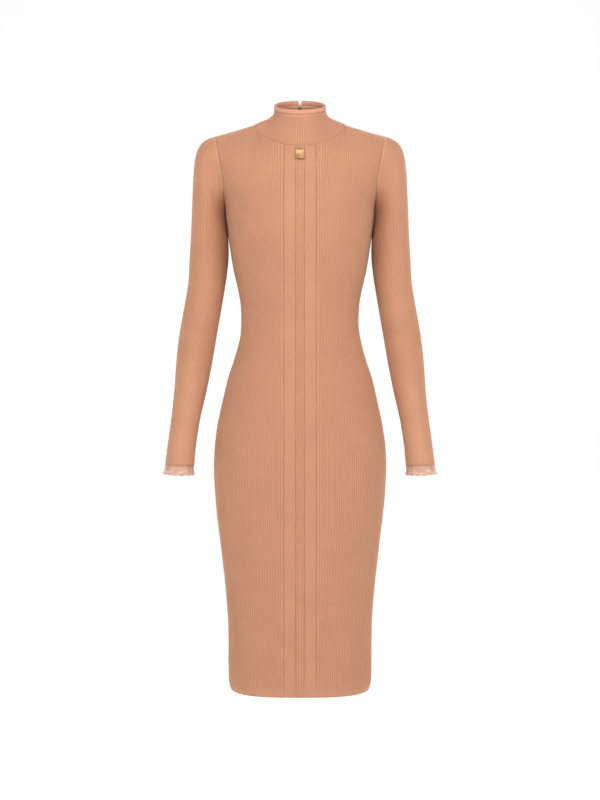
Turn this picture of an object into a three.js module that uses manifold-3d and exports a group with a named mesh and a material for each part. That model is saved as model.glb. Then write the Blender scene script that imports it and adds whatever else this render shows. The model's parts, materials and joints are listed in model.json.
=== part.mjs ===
// A long-sleeved rib-knit midi dress with a funnel neck, filled out as if it were worn.
// Millimetres. +Z is up, the front faces -Y and +X is the wearer's left.
// The origin lies between the shoulders, level with the neck's side points, where the
// wearer's shoulders carry the dress.

import * as THREE from "three";
import { mergeVertices } from "three/addons/utils/BufferGeometryUtils.js";
import Module from "manifold-3d";

// The cloth: a plain inner face, and ribs raised on the outer one
const WALL = 1.5; // thickness in a rib's groove
const RIB_RISE = 0.9; // how far a rib stands over its groove
const SEAM_GAP = 0.3;
const INNER_SETBACK = 1; // how far the inner face stops short of a curved seam

// The body, from the hem to the neck
const ARMPIT_Z = -148;
const SHOULDER_Z = -17; // the shoulder point, at the top of the armhole
const SHOULDER_HALF = 160;
const ARMPIT_HALF = 141;
const NECK_HALF = 84; // the neck's side points
const NECK_SIDE_Z = 6;
const NECK_FRONT_Z = -42;
const NECK_BACK_Z = 9;
const HEM_SIDE_Z = -1057;
const HEM_FRONT_DROP = 14;
const HEM_BACK_DROP = 6;
const HEM_PLAIN = 10; // plain edge below the ribs
const YOKE_Z = -182; // above this the armhole shapes the body
const YOKE_ROWS = 6;
const UNDERARM_ROW = 24; // most height between points of a line that ends at the armhole
const FLAT_STEPS = 4; // lines next to the side seam that carry no rib under the arm

// Sections of the body: half its width, its depth before and behind the side seam, and the
// power of the superellipse that joins them (2 is an ellipse, more is squarer).
const BODY = [
  { z: -1075, half: 134, front: 92, back: 84, power: 3.0 },
  { z: -1010, half: 135, front: 93, back: 83, power: 2.9 },
  { z: -940, half: 135.5, front: 95, back: 82, power: 2.8 },
  { z: -880, half: 140, front: 98, back: 84, power: 2.65 },
  { z: -810, half: 147.5, front: 103, back: 90, power: 2.5 },
  { z: -740, half: 156.3, front: 107, back: 100, power: 2.4 },
  { z: -680, half: 161.5, front: 108, back: 110, power: 2.3 },
  { z: -630, half: 162.5, front: 107, back: 118, power: 2.3 },
  { z: -580, half: 158, front: 105, back: 121, power: 2.3 },
  { z: -530, half: 148.5, front: 103, back: 116, power: 2.3 },
  { z: -480, half: 137, front: 100, back: 104, power: 2.25 },
  { z: -440, half: 124, front: 95, back: 90, power: 2.2 },
  { z: -400, half: 113.5, front: 90, back: 78, power: 2.2 },
  { z: -360, half: 110.5, front: 88, back: 72, power: 2.2 },
  { z: -320, half: 114.5, front: 91, back: 72, power: 2.25 },
  { z: -270, half: 125.5, front: 98, back: 79, power: 2.35 },
  { z: -220, half: 133, front: 105, back: 87, power: 2.45 },
  { z: -180, half: 137.5, front: 107, back: 92, power: 2.5 },
  { z: -148, half: 141, front: 105, back: 95, power: 2.5 },
  { z: -110, half: 154, front: 98, back: 97, power: 2.45 },
  { z: -80, half: 164, front: 90, back: 95, power: 2.35 },
  { z: -60, half: 175, front: 83, back: 91, power: 2.1 },
  { z: -40, half: 186, front: 73, back: 84, power: 1.75 },
  { z: -28, half: 180, front: 63, back: 78, power: 1.52 },
  { z: -17, half: 160, front: 53, back: 72.5, power: 1.4 },
  { z: -9, half: 132, front: 47, back: 68.5, power: 1.45 },
  { z: 0, half: 102, front: 42, back: 65, power: 1.6 },
  { z: 6, half: 84, front: 39, back: 62, power: 1.75 },
  { z: 12, half: 72, front: 37, back: 60, power: 1.9 },
];
const BODY_LEVELS = [
  -965, -870, -785, -705, -635, -575, -515, -460, -405, -355, -305, -258, -218, YOKE_Z,
];
const BUST = { x: 62, z: -196, rise: 9, reach: 52 };

// Ribs of half the front and half the back. A rib and its groove are two steps across, and a
// line of points runs up the cloth at each step. The first lines end at the neckline, the
// last ones at the armhole and those between at the shoulder seam.
const FRONT_RIBS = 18;
const FRONT_NECK_STEPS = 10;
const BACK_RIBS = 20;
const BACK_NECK_STEPS = 14;
const ARMHOLE_STEPS = 11;
const EVEN_ACROSS = 0.5; // neckline steps: 1 for even steps across, 0 for even steps along it

// Half of the front's centre panel: distances from the centre line, with a rib at each rise
// of 1. The herringbone band lies between the two stations that carry a phase.
const PANEL = [
  { at: 0, rise: 1 },
  { at: 3.6, rise: 0 },
  { at: 6, rise: 1 },
  { at: 8.2, rise: 0, band: "inner" },
  { at: 30, rise: 0, band: "outer" },
  { at: 32, rise: 1.3 },
  { at: 34, rise: 0 },
];
const HERRINGBONE_STEP = 8.2; // half a pitch, up the dress
const HERRINGBONE_SLANT = 4; // steps that a line climbs across its band, an even number
const HERRINGBONE_RISE = 0.7;

// The sleeve: centres and half sizes of its sections, from the cuff to the upper arm
const SLEEVE = [
  { z: -643, x: 227.5, y: -25, wide: 27.2, deep: 25 },
  { z: -600, x: 223, y: -20, wide: 26.4, deep: 26.5 },
  { z: -550, x: 216, y: -14, wide: 27, deep: 30 },
  { z: -500, x: 208, y: -8, wide: 30, deep: 34 },
  { z: -450, x: 201.5, y: -3, wide: 33.2, deep: 37.5 },
  { z: -400, x: 194.5, y: 0, wide: 34.6, deep: 39.5 },
  { z: -300, x: 177.6, y: 1, wide: 34.6, deep: 41.5 },
  { z: -250, x: 173.2, y: 0, wide: 36, deep: 43 },
  { z: -212, x: 172.6, y: 0, wide: 34.3, deep: 44 },
  { z: -185, x: 173.4, y: 0, wide: 32.4, deep: 44.5 },
];
const SLEEVE_RIBS = 26;
const CAP_ROWS = 5; // rows of the sleeve head, from the upper arm to the armhole
const CAP_RISE = 0.8; // how far a sleeve line goes on up the arm, and how far it
const CAP_REACH = 0.27; // leaves the armhole, as shares of the way between them
const CAP_LEAN_TOP = 18; // degrees below level at which it leaves the armhole
const CAP_LEAN_BOTTOM = 78;
const CUFF_EDGE = { height: 14, flare: 3.6, waves: 15, rise: 0.8, wall: 1.1 };

// The collar: its tilted top ring, and how its lines leave the neckline
const COLLAR_TOP = { half: 48.5, deep: 50, y: -11, z: 41, tilt: 15.5 };
const COLLAR_COLUMNS = 76;
const COLLAR_ROWS = 4;
const NECK_GAP = 0.5;
const COLLAR_LEAN_SIDE = 24;
const COLLAR_LEAN_FRONT = 76;
const COLLAR_LEAN_BACK = 62;
const BINDING = { height: 9, thick: 3, columns: 36 };

// The zip in the centre of the back
const ZIP_BOTTOM_Z = -405;
const ZIP_CLOSES = 8; // below the zip the seam closes over this height
const ZIP_EDGE = 4; // the cloth's edges, each side of the teeth
const ZIP_TAPE = { edge: 2.5, thick: 1, drop: WALL + 1 };
const ZIP_CHAIN = { half: 2.2, thick: 2.4, drop: 1.2 }; // drop: depth below the cloth's face
const SLIDER = { half: 3.6, length: 12, plate: 1.3, over: 0.4, post: 2, postLength: 3.2, under: 12.5 };

// A small arch, and what hangs in it: the zip's pull tab and the charm at the neck
const ARCH = { half: 0.7, reach: 3.1, bar: 0.9, clear: 1.75 };
const PULL = { half: 3, plate: 19, thick: 1, eyeHalf: 3, eye: 5, rail: 1.2, bar: 1, clear: 0.5 };
const CHARM = { half: 8.6, plate: 19.5, thick: 1, eyeHalf: 6.6, eye: 4.2, rail: 1.6, bar: 1, clear: 0.4 };
const CHARM_Z = -49; // height of the arch that holds the charm
const LOOP_RISE = RIB_RISE + 0.3; // how far over the base face that arch stands

// Colours
const camel = new THREE.MeshStandardMaterial({ color: 0xd39a78, roughness: 0.85, metalness: 0 });
const blush = new THREE.MeshStandardMaterial({ color: 0xdfaa90, roughness: 0.6, metalness: 0 });
const tapeTan = new THREE.MeshStandardMaterial({ color: 0xc08a6a, roughness: 0.8, metalness: 0 });
const gold = new THREE.MeshStandardMaterial({ color: 0xd8a850, roughness: 0.3, metalness: 1 });

const { clamp, lerp, smoothstep, degToRad } = THREE.MathUtils;
const point = (x, y, z) => new THREE.Vector3(x, y, z);

// Value of a table's column at height z, on a smooth curve through the table's rows.
function along(table, column, z) {
  const last = table.length - 1;
  let i = 0;
  while (i < last - 1 && z > table[i + 1].z) i++;
  const slope = (k) => {
    const before = table[Math.max(k - 1, 0)];
    const after = table[Math.min(k + 1, last)];
    return (after[column] - before[column]) / (after.z - before.z);
  };
  const span = table[i + 1].z - table[i].z;
  const t = clamp((z - table[i].z) / span, 0, 1);
  const ease = t * t * (3 - 2 * t);
  return lerp(table[i][column], table[i + 1][column], ease)
    + span * t * (1 - t) * (slope(i) * (1 - t) - slope(i + 1) * t);
}

// The body's outer face

// Soft fullness over the chest, which fades out at the side seams.
function bust(x, z) {
  const near = (side) => ((x - side * BUST.x) ** 2 + ((z - BUST.z) * 0.9) ** 2) / BUST.reach ** 2;
  return BUST.rise * (Math.exp(-near(1)) + Math.exp(-near(-1)));
}

// Depth of the front or the back at x, measured from the plane of the side seams.
function depthAt(side, x, z) {
  const power = along(BODY, "power", z);
  const share = Math.min(1, Math.abs(x) / along(BODY, "half", z));
  const round = (1 - share ** power) ** (1 / power);
  return round * (along(BODY, side, z) + (side === "front" ? bust(x, z) : 0));
}

const onBody = (side, x, z) => point(x, (side === "front" ? -1 : 1) * depthAt(side, x, z), z);

// Outward direction of the body's face. In the plane of the side and shoulder seams it has
// no part along Y, so that the front and the back share it.
function outOfBody(side, x, z) {
  const step = 0.6;
  const edge = along(BODY, "half", z + step) - 2 * step;
  const at = clamp(x, -edge, edge);
  const across = onBody(side, at + step, z).sub(onBody(side, at - step, z));
  const up = onBody(side, at, z + step).sub(onBody(side, at, z - step));
  const out = across.cross(up);
  if (side === "back") out.negate();
  if (depthAt(side, x, z) < 1e-6) out.y = 0;
  return out.normalize();
}

// Where the armhole cuts the body, seen from the front.
const armholeX = (z) => {
  const share = clamp((z - ARMPIT_Z) / (SHOULDER_Z - ARMPIT_Z), 0, 1);
  return lerp(ARMPIT_HALF, SHOULDER_HALF, share ** 1.3);
};

// A point of the armhole, from its bottom (0) by the front over its top (half a turn) and
// down the back.
function armhole(turn) {
  const z = lerp(ARMPIT_Z, SHOULDER_Z, (1 - Math.cos(turn)) / 2);
  return onBody(turn <= Math.PI ? "front" : "back", armholeX(z), z);
}

// A point of the neckline, from the centre (0) to the neck's side point (a quarter turn).
function neckline(side, turn) {
  const centre = side === "front" ? NECK_FRONT_Z : NECK_BACK_Z;
  return onBody(
    side,
    NECK_HALF * Math.sin(turn),
    lerp(NECK_SIDE_Z, centre, Math.cos(turn)),
  );
}

// Height of the shoulder seam at x: there the body is as wide as x.
function shoulderZ(x) {
  let [low, high] = [SHOULDER_Z, NECK_SIDE_Z];
  for (let i = 0; i < 40; i++) {
    const middle = (low + high) / 2;
    if (along(BODY, "half", middle) > x) low = middle;
    else high = middle;
  }
  return low;
}

// A curve from 0 to 1, given as a function, as a lookup from the length walked to the place.
function walk(curve, samples = 160) {
  const lengths = [0];
  let before = curve(0);
  for (let i = 1; i <= samples; i++) {
    const here = curve(i / samples);
    lengths.push(lengths[i - 1] + here.distanceTo(before));
    before = here;
  }
  const total = lengths[samples];
  const share = (length) => {
    let i = 0;
    while (i < samples - 1 && lengths[i + 1] < length) i++;
    return clamp((i + (length - lengths[i]) / (lengths[i + 1] - lengths[i])) / samples, 0, 1);
  };
  return { total, at: (length) => curve(share(length)) };
}

const SIDES = {
  front: { ribs: FRONT_RIBS, neckSteps: FRONT_NECK_STEPS, first: PANEL[PANEL.length - 1].at },
  back: { ribs: BACK_RIBS, neckSteps: BACK_NECK_STEPS, first: ZIP_EDGE },
};
const necklines = {
  front: walk((t) => neckline("front", (t * Math.PI) / 2)),
  back: walk((t) => neckline("back", (t * Math.PI) / 2)),
};

// Angle of a place in its section's superellipse, from the centre line to the side.
const angleAt = (x, z) =>
  Math.asin(Math.min(1, (x / along(BODY, "half", z)) ** (along(BODY, "power", z) / 2)));
const xAtAngle = (angle, z) =>
  along(BODY, "half", z) * Math.sin(angle) ** (2 / along(BODY, "power", z));

// The armhole's points on one side, from the bottom to the shoulder.
const armholePoint = (side, i) =>
  armhole(side === "front" ? (Math.PI * i) / SLEEVE_RIBS : (Math.PI * (2 * SLEEVE_RIBS - i)) / SLEEVE_RIBS);

// Half of a level section, from the centre to the side seam, or above YOKE_Z to the line
// that goes on up the armhole.
const sections = new Map();
function section(side, z) {
  const key = side + z;
  if (!sections.has(key)) {
    const curve = (end) => walk((t) => onBody(side, xAtAngle(end * t, z), z));
    let level = curve(Math.PI / 2);
    if (z > YOKE_Z) {
      const turn = armholePoint(side, ARMHOLE_STEPS);
      if (z >= turn.z) level = curve(angleAt(armholeX(z), z));
      else {
        const { first, ribs } = SIDES[side];
        const below = section(side, YOKE_Z);
        const share = 1 - ARMHOLE_STEPS / (2 * ribs);
        const from = angleAt(below.at(lerp(first, below.total, share)).x, YOKE_Z);
        const t = (z - YOKE_Z) / (turn.z - YOKE_Z);
        level = curve(lerp(from, angleAt(turn.x, turn.z), t));
      }
    }
    sections.set(key, level);
  }
  return sections.get(key);
}

// Stations across half a panel, from its centre outwards. Each has a fixed distance from the
// centre or a step, the place where it ends at the top, and its rise.
function stations(side) {
  const { ribs, neckSteps, first } = SIDES[side];
  const made = side === "front" ? PANEL.map((s) => ({ ...s })) : [{ at: ZIP_EDGE, rise: 0 }];
  const neck = necklines[side];
  for (const s of made) s.top = neck.at(s.at);
  const steps = 2 * ribs;
  const shoulder = steps - ARMHOLE_STEPS;
  for (let i = 1; i <= steps; i++) {
    const s = { step: i, rise: i % 2 };
    if (i <= neckSteps) {
      const even = lerp(first, NECK_HALF, i / neckSteps);
      const walked = neck.at(lerp(first, neck.total, i / neckSteps)).x;
      const x = lerp(walked, even, EVEN_ACROSS);
      s.top = neckline(side, Math.asin(Math.min(1, x / NECK_HALF)));
    } else if (i <= shoulder) {
      const x = lerp(NECK_HALF, SHOULDER_HALF, (i - neckSteps) / (shoulder - neckSteps));
      s.top = point(x, 0, shoulderZ(x));
    } else {
      s.top = armholePoint(side, steps - i);
      s.underArm = true;
    }
    s.atArmhole = i === shoulder;
    made.push(s);
  }
  return made;
}

// Place of a station on the level section at z.
function stationX(side, s, z) {
  const { first, ribs } = SIDES[side];
  const level = section(side, Math.min(z, SHOULDER_Z));
  if (s.step === undefined) return level.at(s.at).x;
  const steps = 2 * ribs - (z > YOKE_Z ? ARMHOLE_STEPS : 0);
  return level.at(lerp(first, level.total, s.step / steps)).x;
}

const hemZ = (side, x) => {
  const share = depthAt(side, x, HEM_SIDE_Z) / along(BODY, side, HEM_SIDE_Z);
  return HEM_SIDE_Z - (side === "front" ? HEM_FRONT_DROP : HEM_BACK_DROP) * share;
};

// A line of the cloth from the hem to its end at the top: for each point its place on the
// base face, the way out, and how much of the rib's rise it carries. The line that goes on up
// the armhole's edge notes where it turns into that edge.
function bodyLine(side, s) {
  const line = [];
  const add = (x, z, rise) =>
    line.push({ place: onBody(side, x, z), out: outOfBody(side, x, z), rise });
  const end = (place) =>
    line.push({ place: place.clone(), out: outOfBody(side, place.x, place.z), rise: 0 });
  const hem = hemZ(side, stationX(side, s, HEM_SIDE_Z));
  add(stationX(side, s, hem), hem, 0);
  add(stationX(side, s, hem + HEM_PLAIN), hem + HEM_PLAIN, s.rise);
  for (const z of BODY_LEVELS) add(stationX(side, s, z), z, s.rise);
  if (s.underArm || s.atArmhole) {
    const top = s.atArmhole ? armholePoint(side, ARMHOLE_STEPS) : s.top;
    const from = angleAt(stationX(side, s, YOKE_Z), YOKE_Z);
    const to = angleAt(top.x, top.z);
    const rows = Math.max(1, Math.round((top.z - YOKE_Z) / UNDERARM_ROW));
    const flat = s.step > 2 * SIDES[side].ribs - FLAT_STEPS;
    for (let i = 1; i < rows; i++) {
      const z = lerp(YOKE_Z, top.z, i / rows);
      add(xAtAngle(lerp(from, to, i / rows), z), z, flat ? 0 : s.rise);
    }
    end(top);
    if (!s.atArmhole) return line;
    line.branch = { at: line.length - 1, right: true };
    for (let i = ARMHOLE_STEPS + 1; i <= SLEEVE_RIBS; i++) end(armholePoint(side, i));
    return line;
  }
  const shift = s.top.x - stationX(side, s, s.top.z);
  for (let i = 1; i < YOKE_ROWS; i++) {
    const t = i / YOKE_ROWS;
    const z = lerp(YOKE_Z, s.top.z, 1 - (1 - t) ** 1.6);
    add(stationX(side, s, z) + shift * smoothstep(t, 0, 1), z, s.rise);
  }
  end(s.top);
  return line;
}

// The same line cut at even steps, for a herringbone band's edge.
function bandLine(side, s) {
  const plain = bodyLine(side, s);
  const heights = plain.map((p) => p.place.z);
  const count = Math.round((heights[heights.length - 1] - heights[1]) / HERRINGBONE_STEP);
  const line = [plain[0]];
  let k = 1;
  for (let i = 0; i <= count; i++) {
    const z = lerp(heights[1], heights[heights.length - 1], i / count);
    while (k < heights.length - 2 && heights[k + 1] < z) k++;
    const t = clamp((z - heights[k]) / (heights[k + 1] - heights[k]), 0, 1);
    const [low, high] = [plain[k], plain[k + 1]];
    line.push({
      place: low.place.clone().lerp(high.place, t),
      out: low.out.clone().lerp(high.out, t).normalize(),
      rise: i === count ? 0 : (i % 2) * HERRINGBONE_RISE,
    });
  }
  return line;
}

// Walls

// Changes each point of a line, and keeps the note of where it turns into the armhole's edge.
function eachPoint(line, change) {
  const made = line.map(change);
  if (line.branch) made.branch = line.branch;
  return made;
}
function mirrored(line) {
  const made = eachPoint(line, (p) => ({
    ...p,
    place: p.place.clone().setX(-p.place.x),
    out: p.out.clone().setX(-p.out.x),
  }));
  if (line.branch) made.branch = { ...line.branch, right: !line.branch.right };
  return made;
}
const outerFace = (line) =>
  eachPoint(line, (p) => p.place.clone().addScaledVector(p.out, RIB_RISE * p.rise));

// Inner face of a line, drawn back from a curved seam at its top or its foot.
function innerFace(line, top = INNER_SETBACK, foot = 0) {
  const face = eachPoint(line, (p) => p.place.clone().addScaledVector(p.out, -WALL));
  const last = face.length - 1;
  const down = face[last - 1].clone().sub(face[last]).normalize();
  const up = face[1].clone().sub(face[0]).normalize();
  face[last].addScaledVector(down, top);
  face[0].addScaledVector(up, foot);
  return face;
}

function lengthShares(row) {
  const lengths = [0];
  for (let i = 1; i < row.length; i++) {
    lengths.push(lengths[i - 1] + row[i].distanceTo(row[i - 1]));
  }
  const total = lengths[lengths.length - 1];
  return lengths.map((length) => length / total);
}

// Triangles between two rows of points, left and right of the way forward.
function strip(triangles, left, right, leftAt = lengthShares(left), rightAt = lengthShares(right)) {
  let [i, j] = [0, 0];
  while (i < left.length - 1 || j < right.length - 1) {
    const onLeft = j === right.length - 1
      || (i < left.length - 1 && leftAt[i + 1] + leftAt[i] < rightAt[j + 1] + rightAt[j]);
    if (onLeft) {
      triangles.push([left[i], right[j], left[i + 1]]);
      i++;
    } else {
      triangles.push([left[i], right[j], right[j + 1]]);
      j++;
    }
  }
}

// The part of a column that a neighbour on its right or left is joined to.
const beside = (column, right) =>
  (column.branch && column.branch.right === right ? column.slice(0, column.branch.at + 1) : column);

// The upper edge of neighbouring columns, from left to right.
function rim(columns) {
  return columns.flatMap((column, k) => {
    const top = column[column.length - 1];
    const outside = column.branch && (column.branch.right ? k === columns.length - 1 : k === 0);
    if (!column.branch || outside) return [top];
    const edge = column.slice(column.branch.at);
    return column.branch.right ? edge.reverse() : edge;
  });
}

// A closed wall. Its outer and inner columns run upwards, and follow one another from left to
// right as seen from outside. kept says behind which outer columns the inner ones lie. A
// slanted pair of columns is joined along its herringbone.
function wall(outer, inner, options = {}) {
  const { kept = outer.map((_, i) => i), round = false, slants = new Map() } = options;
  const triangles = [];
  const around = (columns, i) => columns[i % columns.length];
  for (let i = 0; i < outer.length - (round ? 0 : 1); i++) {
    const left = beside(outer[i], true);
    const right = beside(around(outer, i + 1), false);
    const slant = slants.get(i);
    if (slant === undefined) strip(triangles, left, right);
    else strip(triangles, left, right, left.map((_, k) => k - slant), right.map((_, k) => k));
  }
  for (let j = 0; j < inner.length - (round ? 0 : 1); j++) {
    const [left, right] = [inner[j], around(inner, j + 1)];
    strip(triangles, beside(right, false), beside(left, true));
    const to = j + 1 < inner.length ? kept[j + 1] : outer.length;
    const front = [];
    for (let i = kept[j]; i <= to; i++) front.push(around(outer, i));
    strip(triangles, rim([left, right]), rim(front));
    strip(triangles, front.map((column) => column[0]), [left[0], right[0]]);
  }
  if (!round) {
    strip(triangles, inner[0], outer[0]);
    strip(triangles, outer[outer.length - 1], inner[inner.length - 1]);
  }
  const places = new Map();
  const positions = [];
  const index = [];
  for (const p of triangles.flat()) {
    if (!places.has(p)) {
      places.set(p, positions.length / 3);
      positions.push(p.x, p.y, p.z);
    }
    index.push(places.get(p));
  }
  const geometry = new THREE.BufferGeometry();
  geometry.setAttribute("position", new THREE.Float32BufferAttribute(positions, 3));
  geometry.setIndex(index);
  return geometry;
}

// A ribbed wall of these lines, with an inner column behind the kept ones.
const ribbedWall = (lines, kept, options = {}, setback = {}) => wall(
  lines.map(outerFace),
  kept.map((i) => innerFace(lines[i], setback.top, setback.foot)),
  { kept, ...options },
);

// Places in a row of lines: every few of them, the last one and those at the armhole.
const keptOf = (lines, step, middle = 0) => [...lines.keys()].filter((i) => {
  const out = Math.abs(i - middle);
  return out % step === 0 || i === lines.length - 1 || i === 0 || lines[i].branch;
});

// The front, from the right side seam to the left one

const frontStations = stations("front");
const frontHalf = frontStations.map((s) =>
  (s.band ? bandLine("front", s) : bodyLine("front", s)));

function front() {
  const forward = (p) => ({ ...p, place: p.place.clone().setY(p.place.y - SEAM_GAP / 2) });
  const lines = [...frontHalf.slice(1).reverse().map(mirrored), ...frontHalf]
    .map((line) => eachPoint(line, forward));
  const middle = frontStations.length - 1;
  const inner = frontStations.findIndex((s) => s.band === "inner");
  const slants = new Map([
    [middle + inner, HERRINGBONE_SLANT],
    [middle - inner - 1, -HERRINGBONE_SLANT],
  ]);
  return ribbedWall(lines, keptOf(lines, 4, middle), { slants });
}

// The back, in two halves

const backHalf = stations("back").map((s) => bodyLine("back", s));

// Below the zip the halves meet at the centre.
function meetBelowZip(line) {
  const met = line.map((p) => (p.place.z < ZIP_BOTTOM_Z
    ? { ...p, place: p.place.clone().setX(SEAM_GAP / 2) }
    : p));
  const k = met.findIndex((p) => p.place.z >= ZIP_BOTTOM_Z);
  const share = ZIP_CLOSES / (met[k].place.z - met[k - 1].place.z);
  const place = met[k].place.clone().lerp(met[k - 1].place, share).setX(SEAM_GAP / 2);
  met.splice(k, 0, { ...met[k], place });
  return met;
}

function back(mirror) {
  const behind = (p) => ({ ...p, place: p.place.clone().setY(p.place.y + SEAM_GAP / 2) });
  const lines = [meetBelowZip(backHalf[0]), ...backHalf.slice(1)]
    .map((line) => eachPoint(line, behind));
  // Seen from behind, the left half runs from its side seam to the centre.
  const ordered = mirror ? lines.map(mirrored) : [...lines].reverse();
  for (const line of ordered) if (line.branch) line.branch = { ...line.branch, right: mirror };
  return ribbedWall(ordered, keptOf(ordered, 4, mirror ? 0 : ordered.length - 1));
}

// The sleeve of the wearer's left, and its mirror

// Section of the sleeve at height z: a ring square to the arm's own line.
function sleeveRing(z, turn) {
  const centre = (height) => point(
    along(SLEEVE, "x", height), along(SLEEVE, "y", height), height,
  );
  const up = centre(z + 5).sub(centre(z - 5)).normalize();
  const wide = point(0, 1, 0).cross(up).normalize();
  const deep = up.clone().cross(wide);
  return centre(z)
    .addScaledVector(wide, -along(SLEEVE, "wide", z) * Math.cos(turn))
    .addScaledVector(deep, -along(SLEEVE, "deep", z) * Math.sin(turn));
}

function sleeveLine(turn) {
  const arm = SLEEVE.map((row) => sleeveRing(row.z, turn));
  const upper = arm[arm.length - 1];
  const seam = armhole(turn).add(point(SEAM_GAP + 0.05, 0, 0));
  const top = (1 - Math.cos(turn)) / 2;
  const lean = degToRad(lerp(CAP_LEAN_BOTTOM, CAP_LEAN_TOP, top));
  const away = point(Math.cos(lean), 0, -Math.sin(lean));
  const rise = upper.clone().sub(arm[arm.length - 2]).normalize();
  const span = upper.distanceTo(seam);
  const cap = new THREE.CubicBezierCurve3(
    upper,
    upper.clone().addScaledVector(rise, CAP_RISE * span),
    seam.clone().addScaledVector(away, CAP_REACH * span),
    seam,
  );
  for (let i = 1; i <= CAP_ROWS; i++) arm.push(cap.getPoint(i / CAP_ROWS));
  return arm;
}

// Adds the way out to lines of bare places that go round a tube.
function withOut(lines, rise, round = true) {
  return lines.map((line, i) => line.map((place, k) => {
    const [left, right] = round
      ? [lines[(i + lines.length - 1) % lines.length], lines[(i + 1) % lines.length]]
      : [lines[Math.max(i - 1, 0)], lines[Math.min(i + 1, lines.length - 1)]];
    const across = right[k].clone().sub(left[k]);
    const up = line[Math.min(k + 1, line.length - 1)].clone().sub(line[Math.max(k - 1, 0)]);
    return { place, out: across.cross(up).normalize(), rise: rise(i, k) };
  }));
}

const sleeveColumns = 2 * SLEEVE_RIBS;
const sleeveTurns = [...Array(sleeveColumns).keys()].map((i) => (2 * Math.PI * i) / sleeveColumns);
const sleeveLines = withOut(sleeveTurns.map(sleeveLine), (i, k) => {
  const ends = k === 0 || k === SLEEVE.length + CAP_ROWS - 1;
  return ends ? 0 : i % 2;
});

function sleeve() {
  const kept = [...sleeveLines.keys()].filter((i) => i % 4 === 0);
  return ribbedWall(sleeveLines, kept, { round: true });
}

// A fine frilled edge below the sleeve, which flares and waves.
function cuffEdge() {
  const columns = 4 * CUFF_EDGE.waves;
  const foot = SLEEVE[0].z;
  const ring = (drop, flare) => [...Array(columns).keys()].map((i) => {
    const turn = (2 * Math.PI * i) / columns;
    const onSleeve = sleeveRing(foot, turn);
    const centre = point(SLEEVE[0].x, SLEEVE[0].y, foot);
    const down = centre.clone().sub(sleeveCentre(foot + 20)).normalize();
    const away = onSleeve.clone().sub(centre).normalize();
    const wave = [0, 1, 0, -1][i % 4] * CUFF_EDGE.rise * (0.35 + 0.65 * (drop / CUFF_EDGE.height));
    return onSleeve.addScaledVector(down, drop).addScaledVector(away, flare + wave);
  });
  const low = ring(CUFF_EDGE.height, CUFF_EDGE.flare);
  const high = ring(SEAM_GAP, 0);
  const lines = withOut(low.map((p, i) => [p, high[i]]), () => 0);
  const inner = lines.map((line) => line.map((p) =>
    p.place.clone().addScaledVector(p.out, -CUFF_EDGE.wall)));
  return wall(lines.map(outerFace), inner, { round: true });
}

function sleeveCentre(z) {
  return point(along(SLEEVE, "x", z), along(SLEEVE, "y", z), z);
}

// The collar

// The neckline as the front's and the back's own top points, from the zip's left edge round
// the front to its right edge.
const tops = (lines) => lines.map((line) => line[line.length - 1].place);
const leftBack = tops(backHalf.slice(0, BACK_NECK_STEPS + 1));
const halfFront = tops(frontHalf.slice(0, PANEL.length + FRONT_NECK_STEPS));
const flip = (p) => point(-p.x, p.y, p.z);
const neckRow = [
  ...leftBack.map(flip),
  ...halfFront.slice(0, -1).reverse().map(flip),
  ...halfFront.slice(1, -1),
  ...[...leftBack].reverse(),
];

function alongRow(row, share) {
  const shares = lengthShares(row);
  let i = 0;
  while (i < row.length - 2 && shares[i + 1] < share) i++;
  return row[i].clone().lerp(row[i + 1], (share - shares[i]) / (shares[i + 1] - shares[i]));
}

// A point of a ring over the collar's top, opposite the neckline's point.
function collarTop(base, above = 0, beyond = 0) {
  const turn = Math.atan2((base.y - COLLAR_TOP.y) / COLLAR_TOP.deep, base.x / COLLAR_TOP.half);
  const zipSide = Math.abs(base.x) <= ZIP_EDGE + 0.01 && base.y > 0;
  const x = zipSide ? base.x : (COLLAR_TOP.half + beyond) * Math.cos(turn);
  const y = COLLAR_TOP.y + (COLLAR_TOP.deep + beyond) * Math.sin(turn);
  return point(x, y, COLLAR_TOP.z + COLLAR_TOP.tilt * Math.sin(turn) + above);
}

function collarLine(base) {
  const top = collarTop(base, -BINDING.height - SEAM_GAP);
  const round = Math.abs(Math.sin(Math.atan2(base.y, base.x)));
  const steep = base.y < 0 ? COLLAR_LEAN_FRONT : COLLAR_LEAN_BACK;
  const lean = degToRad(lerp(COLLAR_LEAN_SIDE, steep, round ** 1.3));
  const inward = point(top.x - base.x, top.y - base.y, 0).normalize();
  const leave = inward.multiplyScalar(Math.cos(lean)).add(point(0, 0, Math.sin(lean)));
  const from = base.clone().add(point(0, 0, NECK_GAP));
  const span = from.distanceTo(top);
  const curve = new THREE.CubicBezierCurve3(
    from,
    from.clone().addScaledVector(leave, 0.42 * span),
    top.clone().add(point(0, 0, -0.4 * span)),
    top,
  );
  return curve.getPoints(COLLAR_ROWS);
}

const collarShares = [...Array(COLLAR_COLUMNS + 1).keys()].map((i) => i / COLLAR_COLUMNS);
const collarBase = collarShares.map((share) => alongRow(neckRow, share));
const collarLines = withOut(
  collarBase.map(collarLine),
  (i, k) => (k === 0 || k === COLLAR_ROWS ? 0 : i % 2),
  false,
);

function collar() {
  return ribbedWall(collarLines, keptOf(collarLines, 3), {}, { top: 0, foot: INNER_SETBACK });
}

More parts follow.
